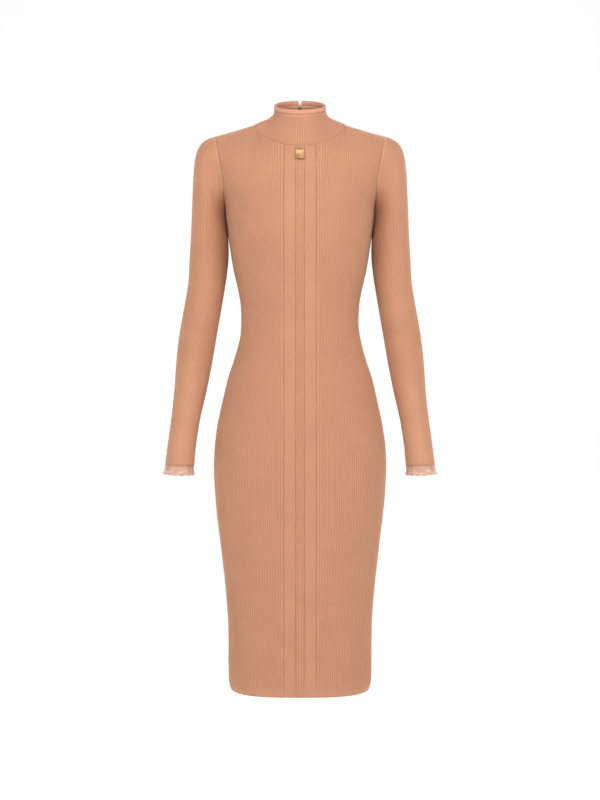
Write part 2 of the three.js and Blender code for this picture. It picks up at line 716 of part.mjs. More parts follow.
// A plain band folded over the collar's top edge.
function binding() {
  const shares = [...Array(BINDING.columns + 1).keys()].map((i) => i / BINDING.columns);
  const lines = shares.map((share) => alongRow(neckRow, share));
  const proud = (BINDING.thick - WALL) / 2;
  const outer = lines.map((base) => [
    collarTop(base, -BINDING.height, proud),
    collarTop(base, -BINDING.thick / 3, proud),
    collarTop(base, 0, proud - BINDING.thick / 3),
  ]);
  const inner = lines.map((base) => [
    collarTop(base, -BINDING.height, proud - BINDING.thick),
    collarTop(base, -BINDING.thick / 3, proud - BINDING.thick),
    collarTop(base, 0, proud - (2 * BINDING.thick) / 3),
  ]);
  return wall(outer, inner);
}

// The zip

// The line of the zip beside its k-th column of cloth, on the side of x's sign: up the back
// from the zip's end, over the seam and up the collar.
function zipLine(k, sign = 1) {
  const lines = sign > 0 ? [...collarLines].reverse() : collarLines;
  const rows = backHalf[k].filter((p) => p.place.z >= ZIP_BOTTOM_Z - 1).slice(0, -1);
  const low = (sign > 0 ? rows : mirrored(rows)).map(({ place, out }) => ({ place, out }));
  const seam = backHalf[k][backHalf[k].length - 1];
  const high = lines[k].slice(1).map(({ place, out }) => ({ place, out }));
  const between = (sign > 0 ? [seam] : mirrored([seam]))[0];
  const out = between.out.clone().add(lines[k][0].out).normalize();
  return [...low, { place: between.place, out }, ...high];
}
const toCentre = (line, x) =>
  line.map((p) => ({ place: p.place.clone().setX(x), out: p.out.clone().setX(0).normalize() }));
const spine = toCentre(zipLine(0), 0);
spine.push({ place: collarTop(point(0, 1, 0)), out: spine[spine.length - 1].out });

const sunk = (line, depth) => line.map((p) => p.place.clone().addScaledVector(p.out, -depth));

// A tape behind the cloth's edge, over the first two ribs.
function zipTape() {
  const columns = [zipLine(2), zipLine(1), toCentre(zipLine(0), ZIP_TAPE.edge)];
  return wall(
    columns.map((line) => sunk(line, ZIP_TAPE.drop)),
    columns.map((line) => sunk(line, ZIP_TAPE.drop + ZIP_TAPE.thick)),
  );
}

// Frame on a line, at a length below its top end: X across, Y up the line and Z out of it.
function frameBelow(line, below) {
  const places = line.map((p) => p.place);
  let k = places.length - 1;
  let left = below;
  while (places[k].distanceTo(places[k - 1]) < left) left -= places[k].distanceTo(places[--k]);
  const up = places[k].clone().sub(places[k - 1]).normalize();
  const origin = places[k].clone().addScaledVector(up, -left);
  const across = point(-Math.sign(line[k].out.y), 0, 0);
  return new THREE.Matrix4()
    .makeBasis(across, up, across.clone().cross(up))
    .setPosition(origin);
}
const sliderFrame = frameBelow(spine, SLIDER.under);

// The rows of closed teeth as one bar, up to the slider.
function zipChain() {
  const end = point(0, 0, 0).applyMatrix4(sliderFrame);
  const line = spine.filter((p) => p.place.z < end.z - 1);
  line.push({ place: end, out: spine[spine.length - 1].out });
  line[0] = { ...line[0], place: line[0].place.clone().add(point(0, 0, 2)) };
  const column = (x, depth) => sunk(toCentre(line, x), depth);
  const { half, drop, thick } = ZIP_CHAIN;
  return wall(
    [column(half, drop), column(-half, drop)],
    [column(half, drop + thick), column(-half, drop + thick)],
  );
}

const box = (half, low, high, under, over) =>
  new THREE.BoxGeometry(2 * half, high - low, over - under)
    .translate(0, (low + high) / 2, (under + over) / 2);

// An arch along Y that stands on the plane Z = foot.
const archParts = (foot) => [
  box(ARCH.half, -ARCH.reach, ARCH.bar - ARCH.reach, foot, foot + ARCH.clear + ARCH.bar),
  box(ARCH.half, ARCH.reach - ARCH.bar, ARCH.reach, foot, foot + ARCH.clear + ARCH.bar),
  box(ARCH.half, -ARCH.reach, ARCH.reach, foot + ARCH.clear, foot + ARCH.clear + ARCH.bar),
];

// Parts that touch or overlap, made one body.
const wasm = await Module();
wasm.setup();
function joined(parts) {
  const solids = parts.map((part) => {
    const merged = mergeVertices(part.deleteAttribute("normal").deleteAttribute("uv"), 1e-4);
    return new wasm.Manifold(new wasm.Mesh({
      numProp: 3,
      vertProperties: merged.attributes.position.array,
      triVerts: new Uint32Array(merged.index.array),
    }));
  });
  const mesh = solids.reduce((all, solid) => all.add(solid)).getMesh();
  const geometry = new THREE.BufferGeometry();
  geometry.setAttribute("position", new THREE.BufferAttribute(mesh.vertProperties, 3));
  geometry.setIndex([...mesh.triVerts]);
  return geometry;
}

function slider() {
  const { half, length, plate, over, post, postLength } = SLIDER;
  const under = ZIP_CHAIN.drop + ZIP_CHAIN.thick + SEAM_GAP;
  return joined([
    box(half, -length / 2, length / 2, -under - plate, -under),
    box(post, length / 2 - postLength, length / 2, -under - plate / 2, over - plate / 2),
    box(half, -length / 2, length / 2, over - plate, over),
    ...archParts(over - 0.2),
  ]);
}

// A plate hung by an eye, flat in the plane Z = 0, with its hinge along X at the origin.
function hanger({ half, plate, thick, eyeHalf, eye, rail, bar }) {
  const foot = -bar / 2 - eye;
  const round = Math.min(half / 3, 2);
  const side = [[half - round, foot - plate], [half, foot - plate + round]];
  if (half > eyeHalf) side.push([half, foot - rail / 2], [eyeHalf, foot - rail / 2]);
  side.push([eyeHalf, bar / 2 - rail / 2], [eyeHalf - rail / 2, bar / 2]);
  const contour = [...side, ...side.map(([x, y]) => [-x, y]).reverse()];
  const shape = new THREE.Shape(contour.map(([x, y]) => new THREE.Vector2(x, y)));
  const hole = new THREE.Path();
  hole.moveTo(-eyeHalf + rail, -bar / 2);
  hole.lineTo(eyeHalf - rail, -bar / 2);
  hole.lineTo(eyeHalf - rail, foot);
  hole.lineTo(-eyeHalf + rail, foot);
  shape.holes.push(hole);
  const solid = new THREE.ExtrudeGeometry(shape, { depth: thick, bevelEnabled: false });
  return solid.translate(0, 0, -thick / 2);
}

// The hinge's frame in the part: over the arch's foot, and turned out until the plate is
// clear of the line it lies on.
function hinge(frame, foot, piece, line, rise) {
  const pivot = frame.clone().multiply(
    new THREE.Matrix4().makeTranslation(0, 0, foot + ARCH.clear / 2),
  );
  const back = pivot.clone().invert();
  const reach = piece.bar / 2 + piece.eye + piece.plate;
  const need = piece.thick / 2 + piece.clear + rise;
  let turn = 0;
  for (let i = 0; i + 1 < line.length; i++) {
    for (let k = 0; k <= 8; k++) {
      const here = line[i].place.clone().lerp(line[i + 1].place, k / 8).applyMatrix4(back);
      const away = Math.hypot(here.y, here.z);
      if (here.y > -2 || away > reach + 1) continue;
      turn = Math.max(turn, Math.asin(Math.min(1, need / away)) - Math.atan2(-here.z, -here.y));
    }
  }
  return pivot.multiply(new THREE.Matrix4().makeRotationX(-turn));
}

const pullFrame = hinge(sliderFrame, SLIDER.over - 0.2, PULL, spine, 0);
const frontCentre = frontHalf[0];
const neckToCharm = frontCentre[frontCentre.length - 1].place.z - CHARM_Z;
const charmFrame = frameBelow(frontCentre, neckToCharm);
const charmHinge = hinge(charmFrame, LOOP_RISE, CHARM, frontCentre, RIB_RISE);

const dress = new THREE.Group();
dress.name = "sweater_dress";

function add(name, geometry, material, parent = dress) {
  const mesh = new THREE.Mesh(geometry, material);
  mesh.name = name;
  parent.add(mesh);
  return mesh;
}

const mirrorX = new THREE.Matrix4().makeScale(-1, 1, 1);
function mirrorOf(geometry) {
  const made = geometry.clone().applyMatrix4(mirrorX);
  const index = made.index.array;
  for (let i = 0; i < index.length; i += 3) {
    [index[i + 1], index[i + 2]] = [index[i + 2], index[i + 1]];
  }
  return made;
}

add("front", front(), camel);
add("back_left", back(false), camel);
add("back_right", back(true), camel);
const sleeveLeft = sleeve();
add("sleeve_left", sleeveLeft, camel);
add("sleeve_right", mirrorOf(sleeveLeft), camel);
const cuffLeft = cuffEdge();
add("cuff_edge_left", cuffLeft, blush);
add("cuff_edge_right", mirrorOf(cuffLeft), blush);
add("collar", collar(), camel);
add("collar_binding", binding(), camel);
const tapeLeft = zipTape();
add("zip_tape_left", tapeLeft, tapeTan);
add("zip_tape_right", mirrorOf(tapeLeft), tapeTan);
add("zip_chain", zipChain(), gold);
add("zip_slider", slider().applyMatrix4(sliderFrame), gold);
add("zip_pull", hanger(PULL).applyMatrix4(pullFrame), gold);
add("charm_loop", joined(archParts(LOOP_RISE)).applyMatrix4(charmFrame), gold);
add("charm", hanger(CHARM).applyMatrix4(charmHinge), gold);

export default dress;
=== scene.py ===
"""Dresses the packed solids of a rib-knit midi dress: its fine ribs and herringbone panel, its
creases and seams, the wavy edging of the cuffs, the zip and the gold charm, in a plain studio.

The forms repeat the solids' own sizes in millimetres, with +Z up and the front facing -Y, and
become metres where a piece's points are placed.
"""

import json
import math
from bisect import bisect_right
from functools import lru_cache

import bmesh
import bpy
from bpy.props import FloatProperty, FloatVectorProperty, IntProperty, PointerProperty
from mathutils import Matrix, Vector


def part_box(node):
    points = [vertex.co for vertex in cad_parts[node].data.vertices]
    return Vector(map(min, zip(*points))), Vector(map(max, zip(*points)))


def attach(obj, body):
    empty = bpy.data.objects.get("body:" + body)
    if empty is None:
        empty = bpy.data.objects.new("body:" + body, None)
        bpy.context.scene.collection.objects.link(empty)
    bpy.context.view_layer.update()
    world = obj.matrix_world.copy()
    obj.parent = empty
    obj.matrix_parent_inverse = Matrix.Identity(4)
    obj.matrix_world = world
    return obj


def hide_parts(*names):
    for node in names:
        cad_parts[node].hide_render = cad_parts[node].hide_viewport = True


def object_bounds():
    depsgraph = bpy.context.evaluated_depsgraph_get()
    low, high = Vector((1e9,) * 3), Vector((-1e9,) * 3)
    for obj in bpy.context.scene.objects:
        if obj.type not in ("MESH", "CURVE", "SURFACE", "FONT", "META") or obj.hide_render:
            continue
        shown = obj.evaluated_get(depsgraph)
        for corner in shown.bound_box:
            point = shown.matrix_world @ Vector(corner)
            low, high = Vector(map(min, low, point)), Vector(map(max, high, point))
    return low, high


bl_info = {
    "name": "Rib-knit midi dress",
    "version": (1, 0, 0),
    "blender": (4, 5, 0),
    "location": "View3D > Sidebar > Dress",
    "description": "Builds the visible knit, zip and charm of a dress over its packed solids",
    "category": "Object",
}

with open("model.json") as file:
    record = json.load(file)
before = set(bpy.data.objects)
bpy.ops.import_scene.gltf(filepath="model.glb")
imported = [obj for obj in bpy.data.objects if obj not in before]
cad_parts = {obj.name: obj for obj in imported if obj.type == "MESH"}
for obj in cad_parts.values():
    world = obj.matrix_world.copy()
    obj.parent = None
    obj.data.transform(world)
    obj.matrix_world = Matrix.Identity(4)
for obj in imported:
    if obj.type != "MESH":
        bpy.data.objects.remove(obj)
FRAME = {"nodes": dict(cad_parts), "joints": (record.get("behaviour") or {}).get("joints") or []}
CAD_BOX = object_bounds()
MM = 0.001

# The photo's scale and the row of its neck's side points
PIXEL = 1.9
IMAGE_ROWS = 800
NECK_ROW = 127

# Seams and walls, as in the solids
WALL = 1.5
SEAM_GAP = 0.3
SEAM_SINK = 0.18  # how far the cloth dips where it is sewn
NECK_SEAM_RADIUS = 0.75
THREAD_WIDTH = 0.5
THREAD_THICK = 0.45
STITCH_SHARE = 0.68  # of the stitches' pitch
STITCH_PROUD = 0.12
STITCH_ABOVE_FOOT = 1.7  # how far over the binding's lower edge its stitches run
STITCH_FROM_ZIP = 3.6

# The body
ARMPIT_Z = -148
SHOULDER_Z = -17
SHOULDER_HALF = 160
ARMPIT_HALF = 141
NECK_HALF = 84
NECK_SIDE_Z = 6
NECK_CENTRE_Z = {"front": -42, "back": 9}
HEM_SIDE_Z = -1057
HEM_DROP = {"front": 14, "back": 6}
HEM_PLAIN = 10
HEM_CURL = 2.4  # how far the hem's edge turns in
# Painted shade: how much of the darker groove colour each kind of knit takes
PLAIN_SHADE = 0.42  # how far plain knit takes the painted groove shade
BAND_SHADE = 0.75  # the same between the herringbone lines
LINE_SHADE = 0.2  # the same along the bands' edges
YOKE_Z = -182
PANEL_HALF = 34
BAND_INNER = 8.2
BAND_OUTER = 30
BAND_WIDTH = 22  # as the stitches count it
LINE_SINK = 0.05  # how far the cloth dips along the herringbone bands
ZIP_EDGE = 4
ZIP_BOTTOM_Z = -405
FIRST = {"front": PANEL_HALF, "back": ZIP_EDGE}  # where the even ribs begin
SOLID_RIBS = {"front": 36, "back": 40}  # half ribs over half of a side, in the solids
NECK_RIBS = {"front": 10, "back": 14}  # those that end at the neckline
ARM_RIBS = 11  # those that end under the arm
ARMHOLE_RIBS = 26
NECK_SHARE = {side: NECK_RIBS[side] / SOLID_RIBS[side] for side in SOLID_RIBS}
ARM_SHARE = {side: ARM_RIBS / SOLID_RIBS[side] for side in SOLID_RIBS}

# How finely the cloth is laid out
RIB_POINTS = 3  # points across one rib
HEM_ROWS = 8
HEM_ROWS_Z = -1000  # where the hem's own rows end
SHOULDER_ROWS = 14
CENTRE_COLUMNS = 9
CENTRE_RIB = 3.2  # width of a rib at the front's centre
EDGE_COLUMNS = 4
BAND_COLUMNS = (0, 0.045, 0.11, 0.28, 0.46, 0.64, 0.81, 0.89, 0.955, 1)
FLAT_COLUMNS = 9  # columns beside the side seam that lie flat under the arm
ROW_STEP = 8
ARM_ROWS = 60
CAP_ROWS = 18
EDGING_ROWS = 9
WAVE_POINTS = 12  # points across one wave of the edging
COLLAR_ROWS = 18
BINDING_COLUMNS = 180
TAPE_COLUMNS = 8
NECK_SAMPLES = 240
ZIP_SAMPLES = 100
COLLAR_SAMPLES = 16

# Sections of the body: height, half width, depth before and behind the side seam, power
BODY = [
    (-1075, 134, 92, 84, 3.0),
    (-1010, 135, 93, 83, 2.9),
    (-940, 135.5, 95, 82, 2.8),
    (-880, 140, 98, 84, 2.65),
    (-810, 147.5, 103, 90, 2.5),
    (-740, 156.3, 107, 100, 2.4),
    (-680, 161.5, 108, 110, 2.3),
    (-630, 162.5, 107, 118, 2.3),
    (-580, 158, 105, 121, 2.3),
    (-530, 148.5, 103, 116, 2.3),
    (-480, 137, 100, 104, 2.25),
    (-440, 124, 95, 90, 2.2),
    (-400, 113.5, 90, 78, 2.2),
    (-360, 110.5, 88, 72, 2.2),
    (-320, 114.5, 91, 72, 2.25),
    (-270, 125.5, 98, 79, 2.35),
    (-220, 133, 105, 87, 2.45),
    (-180, 137.5, 107, 92, 2.5),
    (-148, 141, 105, 95, 2.5),
    (-110, 154, 98, 97, 2.45),
    (-80, 164, 90, 95, 2.35),
    (-60, 175, 83, 91, 2.1),
    (-40, 186, 73, 84, 1.75),
    (-28, 180, 63, 78, 1.52),
    (-17, 160, 53, 72.5, 1.4),
    (-9, 132, 47, 68.5, 1.45),
    (0, 102, 42, 65, 1.6),
    (6, 84, 39, 62, 1.75),
    (12, 72, 37, 60, 1.9),
]
BODY_COLUMN = {"half": 1, "front": 2, "back": 3, "power": 4}
BUST = {"x": 62, "z": -196, "rise": 9, "reach": 52}

# Sections of the sleeve: height, centre, half sizes across and from front to back
SLEEVE = [
    (-643, 227.5, -25, 27.2, 25),
    (-600, 223, -20, 26.4, 26.5),
    (-550, 216, -14, 27, 30),
    (-500, 208, -8, 30, 34),
    (-450, 201.5, -3, 33.2, 37.5),
    (-400, 194.5, 0, 34.6, 39.5),
    (-300, 177.6, 1, 34.6, 41.5),
    (-250, 173.2, 0, 36, 43),
    (-212, 172.6, 0, 34.3, 44),
    (-185, 173.4, 0, 32.4, 44.5),
]
CUFF_Z = -643
UPPER_ARM_Z = -185
CAP_RISE = 0.8
CAP_REACH = 0.27
CAP_LEAN_TOP = 18
CAP_LEAN_BOTTOM = 78
CAP_FOLLOW = 0.5  # how far the sleeve head leaves the armhole along the body's slope
SLEEVE_GIRTH = 230
EDGING_TUCK = 0.15  # how far the edging's top lies inside the sleeve's face
CUFF_EDGE = {"height": 14, "flare": 3.2, "rise": 0.7, "front_drop": 4.5, "wall": 0.8}

# The collar
COLLAR_TOP = {"half": 48.5, "deep": 50, "y": -11, "z": 41, "tilt": 15.5}
COLLAR_LEAN_SIDE = 24
COLLAR_LEAN = {"front": 76, "back": 62}
BINDING_HEIGHT = 9
BINDING_THICK = 3
NOTCH_FOOT = 1.7  # half width of the band's notch at its foot

# The zip and the charm, each of which hangs in a small arch
OPEN_EDGE_SINK = 0.4  # how far the cloth's edges dip beside the zip
TAPE_EDGE = 2.5
TAPE_THICK = 1
TAPE_DROP = 2.5
TAPE_BEND = 0.012  # how the tape falls back from the zip, as the back does
TAPE_COURSE = 1.4  # height of one row of its weave
TEETH_DROP = 1.2
TEETH_THICK = 2.4
SLIDER_BELOW_TOP = 12.5
ARCH_CLEAR = 1.75
SLIDER_FOOT = 0.2
LOOP_FOOT = 1.2
TOOTH_WIDTH = 2.7
TOOTH_X = 0.75
TOOTH_SHARE = 0.52  # of the pitch
TOOTH_THICK = 0.8 * TEETH_THICK
TEETH_START = 3
BOTTOM_STOP = (4.2, 2.2, 2.2)
SLIDER = {"width": 7.2, "length": 12, "plate": 1.3, "top": 0.4, "taper": 0.72, "post": 3.2}
PULL = (3, -24.5, 0.5, 1.9)  # half width, lower and upper end, corner radius
PULL_HOLE = (1.8, -5.5, -0.5, 0.7)
PULL_THICK = 1
CORNER_POINTS = 6
BAIL = [(2.6, 0.2), (2.6, 1.5), (2.2, 2.2), (1.2, 2.4)]
BAIL_RADIUS = 0.42
LOOP = [(2.65, 0.4), (2.65, 2.4), (2.2, 3.2), (1.2, 3.4)]
LOOP_RADIUS = 0.45
CHARM = {"width": 17.2, "height": 19.5, "thick": 1, "corner": 1.9, "border": 1.1, "sink": 0.14}
# The charm's shackle: half its width, half its flat top, the centre and the half sizes of its
# rounded shoulders, its height and its wire's radius
SHACKLE = {
    "half": 5.8, "flat": 4.2, "shoulder_y": -1.9, "shoulder": (1.6, 1.4), "height": 4.2,
    "radius": 0.5,
}

# Where the knit bunches under the arm and is darkened there with painted shade: how far out, how
# far that reaches outwards and inwards, how much painted shade darkens the knit and how far it swells
BUNCH_AND_SHADE = {"x": 148, "outwards": 22, "inwards": 12, "shade": 0.85, "rise": 3}

# Soft creases, in the cloth's own sizes: from (x, z) to (x, z), half width, and depth, which
# is above 0 for a trough and below 0 for a ridge
CREASES = {
    "front": [
        ((-134, -150), (-78, -186), 8, 1.5),
        ((-130, -128), (-96, -92), 7, 1.3),
        ((-126, -164), (-84, -214), 9, -1.1),
        ((133, -152), (84, -180), 8, 1.4),
        ((129, -122), (99, -84), 7, 1.2),
        ((128, -170), (92, -222), 9, -1.0),
        ((-118, -292), (-58, -306), 7, 0.9),
        ((-112, -340), (-62, -352), 7, 1.2),
        ((-110, -366), (-70, -362), 6, -0.9),
        ((-114, -398), (-52, -388), 8, 1.1),
        ((112, -330), (66, -344), 7, 1.0),
        ((111, -372), (60, -378), 7, 1.2),
        ((118, -412), (70, -398), 8, -0.9),
        ((-136, -500), (-84, -560), 13, 1.5),
        ((-150, -560), (-104, -640), 14, -1.2),
        ((140, -512), (96, -580), 13, 1.3),
        ((152, -600), (110, -690), 15, -1.1),
        ((-146, -700), (-96, -800), 15, 1.4),
        ((146, -740), (102, -830), 15, 1.3),
        ((-126, -860), (-74, -960), 15, 1.8),
        ((-112, -930), (-52, -1030), 14, -1.5),
        ((-126, -985), (-70, -1046), 12, 1.3),
        ((124, -850), (82, -945), 15, 1.6),
        ((112, -925), (60, -1020), 14, -1.4),
        ((124, -990), (72, -1044), 12, 1.2),
    ],
    "back": [
        ((-132, -150), (-84, -196), 9, 1.5),
        ((132, -156), (88, -190), 9, 1.4),
        ((-128, -120), (-92, -70), 8, 1.2),
        ((128, -112), (96, -66), 8, 1.3),
        ((-104, -318), (-26, -330), 8, 1.3),
        ((104, -330), (30, -322), 8, 1.2),
        ((-108, -352), (-30, -358), 7, -1.0),
        ((106, -366), (28, -356), 8, 1.3),
        ((-106, -388), (-34, -392), 8, 1.4),
        ((112, -404), (40, -410), 8, -1.0),
        ((-120, -640), (-58, -706), 15, 1.5),
        ((118, -650), (60, -700), 15, 1.4),
        ((-96, -720), (-20, -742), 15, 1.3),
        ((98, -728), (24, -738), 14, -1.1),
        ((-120, -800), (-40, -836), 15, 1.2),
        ((112, -820), (36, -862), 15, 1.3),
        ((-116, -890), (-48, -930), 14, -1.2),
        ((110, -930), (44, -985), 15, 1.4),
        ((-112, -970), (-56, -1034), 13, 1.3),
    ],
}
# The same on a sleeve: from (share of the way round, z) to (share, z). The way round starts
# under the arm and passes the front first.
SLEEVE_CREASES = [
    ((0.0, -168), (0.15, -128), 9, 2.6),
    ((0.03, -206), (0.19, -158), 10, 2.4),
    ((0.05, -232), (0.2, -196), 8, -1.6),
    ((0.96, -180), (0.84, -124), 7, 1.3),
    ((0.03, -262), (0.2, -236), 9, 1.2),
    ((0.97, -280), (0.82, -252), 9, 1.1),
    ((0.06, -340), (0.3, -322), 8, 1.5),
    ((0.04, -364), (0.27, -356), 7, -1.2),
    ((0.05, -392), (0.31, -396), 8, 1.6),
    ((0.07, -424), (0.28, -440), 8, -1.0),
    ((0.72, -352), (0.94, -366), 9, 1.1),
    ((0.7, -410), (0.92, -402), 9, 1.2),
    ((0.12, -470), (0.36, -520), 9, 1.1),
    ((0.6, -480), (0.84, -540), 10, 1.0),
    ((0.1, -560), (0.34, -590), 8, 0.9),
    ((0.62, -590), (0.86, -610), 8, 0.9),
]


def lerp(low, high, share):
    """The value a share of the way from low to high."""
    return low + (high - low) * share


def clamp(value, low, high):
    """The value, held between low and high."""
    return max(low, min(high, value))


def smooth(value, low=0.0, high=1.0):
    """0 below low, 1 above high and a soft step between them."""
    t = clamp((value - low) / (high - low), 0, 1)
    return t * t * (3 - 2 * t)


def along(table, column, z):
    """A table's column at height z, on a smooth curve through the table's rows."""
    last = len(table) - 1
    i = 0
    while i < last - 1 and z > table[i + 1][0]:
        i += 1

    def slope(k):
        before, after = table[max(k - 1, 0)], table[min(k + 1, last)]
        return (after[column] - before[column]) / (after[0] - before[0])

    span = table[i + 1][0] - table[i][0]
    t = clamp((z - table[i][0]) / span, 0, 1)
    eased = lerp(table[i][column], table[i + 1][column], t * t * (3 - 2 * t))
    return eased + span * t * (1 - t) * (slope(i) * (1 - t) - slope(i + 1) * t)


# The body's face


@lru_cache(maxsize=None)
def body(name, z):
    """One of the body's measures at height z."""
    return along(BODY, BODY_COLUMN[name], z)


def bust(x, z):
    """Soft fullness over the chest."""
    total = 0
    for side in (-1, 1):
        near = (x - side * BUST["x"]) ** 2 + ((z - BUST["z"]) * 0.9) ** 2
        total += math.exp(-near / BUST["reach"] ** 2)
    return BUST["rise"] * total


def on_body(side, x, z):
    """A point of the front's or the back's face."""
    power = body("power", z)
    share = min(1, abs(x) / body("half", z))
    depth = (1 - share**power) ** (1 / power) * (body(side, z) + (bust(x, z) if side == "front" else 0))
    return Vector((x, -depth if side == "front" else depth, z))


def armhole_x(z):
    """Half width at which the armhole cuts the body."""
    share = clamp((z - ARMPIT_Z) / (SHOULDER_Z - ARMPIT_Z), 0, 1)
    return lerp(ARMPIT_HALF, SHOULDER_HALF, share**1.3)


def armhole(turn):
    """A point of the armhole, from its bottom by the front, over its top and down the back."""
    z = lerp(ARMPIT_Z, SHOULDER_Z, (1 - math.cos(turn)) / 2)
    return on_body("front" if turn <= math.pi else "back", armhole_x(z), z)


def armhole_end(side, ribs):
    """A point of the armhole that lies some of its ribs up from the bottom."""
    turn = math.pi * ribs / ARMHOLE_RIBS
    return armhole(turn if side == "front" else 2 * math.pi - turn)


def neckline(side, turn):
    """A point of the neckline, from the centre to the side a quarter turn on."""
    z = lerp(NECK_SIDE_Z, NECK_CENTRE_Z[side], math.cos(turn))
    return on_body(side, NECK_HALF * math.sin(turn), z)


def shoulder_z(x):
    """Height of the shoulder seam at x."""
    low, high = SHOULDER_Z, NECK_SIDE_Z
    for _ in range(30):
        middle = (low + high) / 2
        low, high = (middle, high) if body("half", middle) > x else (low, middle)
    return low


class Walk:
    """A curve given as a function from 0 to 1, looked up by the length walked along it."""

    def __init__(self, curve, samples=60):
        self.curve, self.samples = curve, samples
        self.lengths = [0]
        before = curve(0)
        for i in range(1, samples + 1):
            here = curve(i / samples)
            self.lengths.append(self.lengths[-1] + (here - before).length)
            before = here
        self.total = self.lengths[-1]

    def at(self, length):
        """The point at that length."""
        i = clamp(bisect_right(self.lengths, length) - 1, 0, self.samples - 1)
        span = self.lengths[i + 1] - self.lengths[i]
        return self.curve(clamp((i + (length - self.lengths[i]) / span) / self.samples, 0, 1))


NECK_WALK = {
    side: Walk(lambda t, side=side: neckline(side, t * math.pi / 2), 160) for side in ("front", "back")
}


def angle_at(x, z):
    """Angle of a place in its section, from the centre to the side."""
    return math.asin(min(1, (x / body("half", z)) ** (body("power", z) / 2)))


def x_at_angle(angle, z):
    """Half width at an angle of a section."""
    return body("half", z) * math.sin(angle) ** (2 / body("power", z))


@lru_cache(maxsize=None)
def section(side, z):
    """Half a level section, from the centre to the side seam or to the armhole."""

    def curve(end):
        return Walk(lambda t: on_body(side, x_at_angle(end * t, z), z))

    if z <= YOKE_Z:
        return curve(math.pi / 2)
    turn = armhole_end(side, ARM_RIBS)
    if z >= turn.z:
        return curve(angle_at(armhole_x(z), z))
    below = section(side, YOKE_Z)
    start = below.at(lerp(FIRST[side], below.total, 1 - ARM_SHARE[side]))
    t = (z - YOKE_Z) / (turn.z - YOKE_Z)
    return curve(lerp(angle_at(start.x, YOKE_Z), angle_at(turn.x, turn.z), t))


class Strand:
    """One line up the cloth: at a fixed distance from the centre, or at a share of the rest."""

    def __init__(self, side, at=None, share=None):
        self.side, self.at, self.share = side, at, share
        neck, arm = NECK_SHARE[side], ARM_SHARE[side]
        self.under_arm = share is not None and share > 1 - arm + 1e-6
        if at is not None:
            self.top = NECK_WALK[side].at(at)
        elif share <= neck:
            walk = NECK_WALK[side]
            even = lerp(FIRST[side], NECK_HALF, share / neck)
            walked = walk.at(lerp(FIRST[side], walk.total, share / neck)).x
            self.top = neckline(side, math.asin(min(1, (even + walked) / 2 / NECK_HALF)))
        elif not self.under_arm:
            x = lerp(NECK_HALF, SHOULDER_HALF, (share - neck) / (1 - arm - neck))
            self.top = Vector((x, 0, shoulder_z(x)))
        else:
            self.top = armhole_end(side, SOLID_RIBS[side] * (1 - share))
        self.shift = 0 if self.under_arm else self.top.x - self.plain_x(self.top.z)
        self.hem_z = HEM_SIDE_Z - HEM_DROP[side] * (
            abs(on_body(side, self.plain_x(HEM_SIDE_Z), HEM_SIDE_Z).y) / body(side, HEM_SIDE_Z)
        )

    def plain_x(self, z):
        """Half width of the strand before it turns towards its end."""
        side = self.side
        if self.at is not None:
            return section(side, min(4 * round(z / 4), SHOULDER_Z)).at(self.at).x
        first = FIRST[side]
        if side == "back":
            first = lerp(0, ZIP_EDGE, smooth(z, ZIP_BOTTOM_Z - 8, ZIP_BOTTOM_Z))
        near = min(z, SHOULDER_Z) if z > HEM_ROWS_Z else 8 * round(z / 8)
        level = section(side, near)
        share = self.share / (1 - ARM_SHARE[side]) if z > YOKE_Z else self.share
        x = level.at(lerp(first, level.total, share)).x
        return x * body("half", z) / body("half", near) if z < HEM_ROWS_Z else x

    def place(self, z):
        """The strand's point at height z."""
        if z <= YOKE_Z:
            return on_body(self.side, self.plain_x(z), z)
        t = clamp((z - YOKE_Z) / (self.top.z - YOKE_Z), 0, 1)
        if self.under_arm:
            start = angle_at(self.plain_x(YOKE_Z), YOKE_Z)
            angle = lerp(start, angle_at(self.top.x, self.top.z), t)
            return on_body(self.side, x_at_angle(angle, z), z)
        eased = smooth(1 - (1 - t) ** (1 / 1.6))
        return on_body(self.side, self.plain_x(z) + self.shift * eased, z)


# The sleeve and the collar


def sleeve_centre(z):
    """Centre of the sleeve at height z."""
    return Vector((along(SLEEVE, 1, z), along(SLEEVE, 2, z), z))


def sleeve_ring(z, turn):
    """A point of the sleeve's section at height z, square to the arm's own line."""
    up = (sleeve_centre(z + 5) - sleeve_centre(z - 5)).normalized()
    wide = Vector((0, 1, 0)).cross(up).normalized()
    deep = up.cross(wide)
    across = wide * (-along(SLEEVE, 3, z) * math.cos(turn))
    return sleeve_centre(z) + across + deep * (-along(SLEEVE, 4, z) * math.sin(turn))


def bezier(a, b, c, d, t):
    """A point of a cubic curve."""
    s = 1 - t
    return a * s**3 + b * (3 * s * s * t) + c * (3 * s * t * t) + d * t**3


def sleeve_cap(turn, t):
    """A point of the sleeve head, from the upper arm to the armhole."""
    upper = sleeve_ring(UPPER_ARM_Z, turn)
    seam = armhole(turn)
    lean = math.radians(lerp(CAP_LEAN_BOTTOM, CAP_LEAN_TOP, (1 - math.cos(turn)) / 2))
    away = Vector((math.cos(lean), 0, -math.sin(lean)))
    side = "front" if turn <= math.pi else "back"
    edge = armhole_x(seam.z)
    slope = (on_body(side, edge, seam.z) - on_body(side, edge - 4, seam.z)).normalized()
    away = away.lerp(slope, CAP_FOLLOW * math.sin(turn) ** 2).normalized()
    rise = (upper - sleeve_ring(SLEEVE[-2][0], turn)).normalized()
    span = (seam - upper).length
    return bezier(upper, upper + rise * (CAP_RISE * span), seam + away * (CAP_REACH * span), seam, t)


def half_neck(share):
    """The neckline of one side, by share of its length from the zip's edge to the centre."""
    back, front = NECK_WALK["back"], NECK_WALK["front"]
    run = share * (back.total - ZIP_EDGE + front.total)
    if run <= back.total - ZIP_EDGE:
        return back.at(ZIP_EDGE + run)
    return front.at(front.total - (run - (back.total - ZIP_EDGE)))


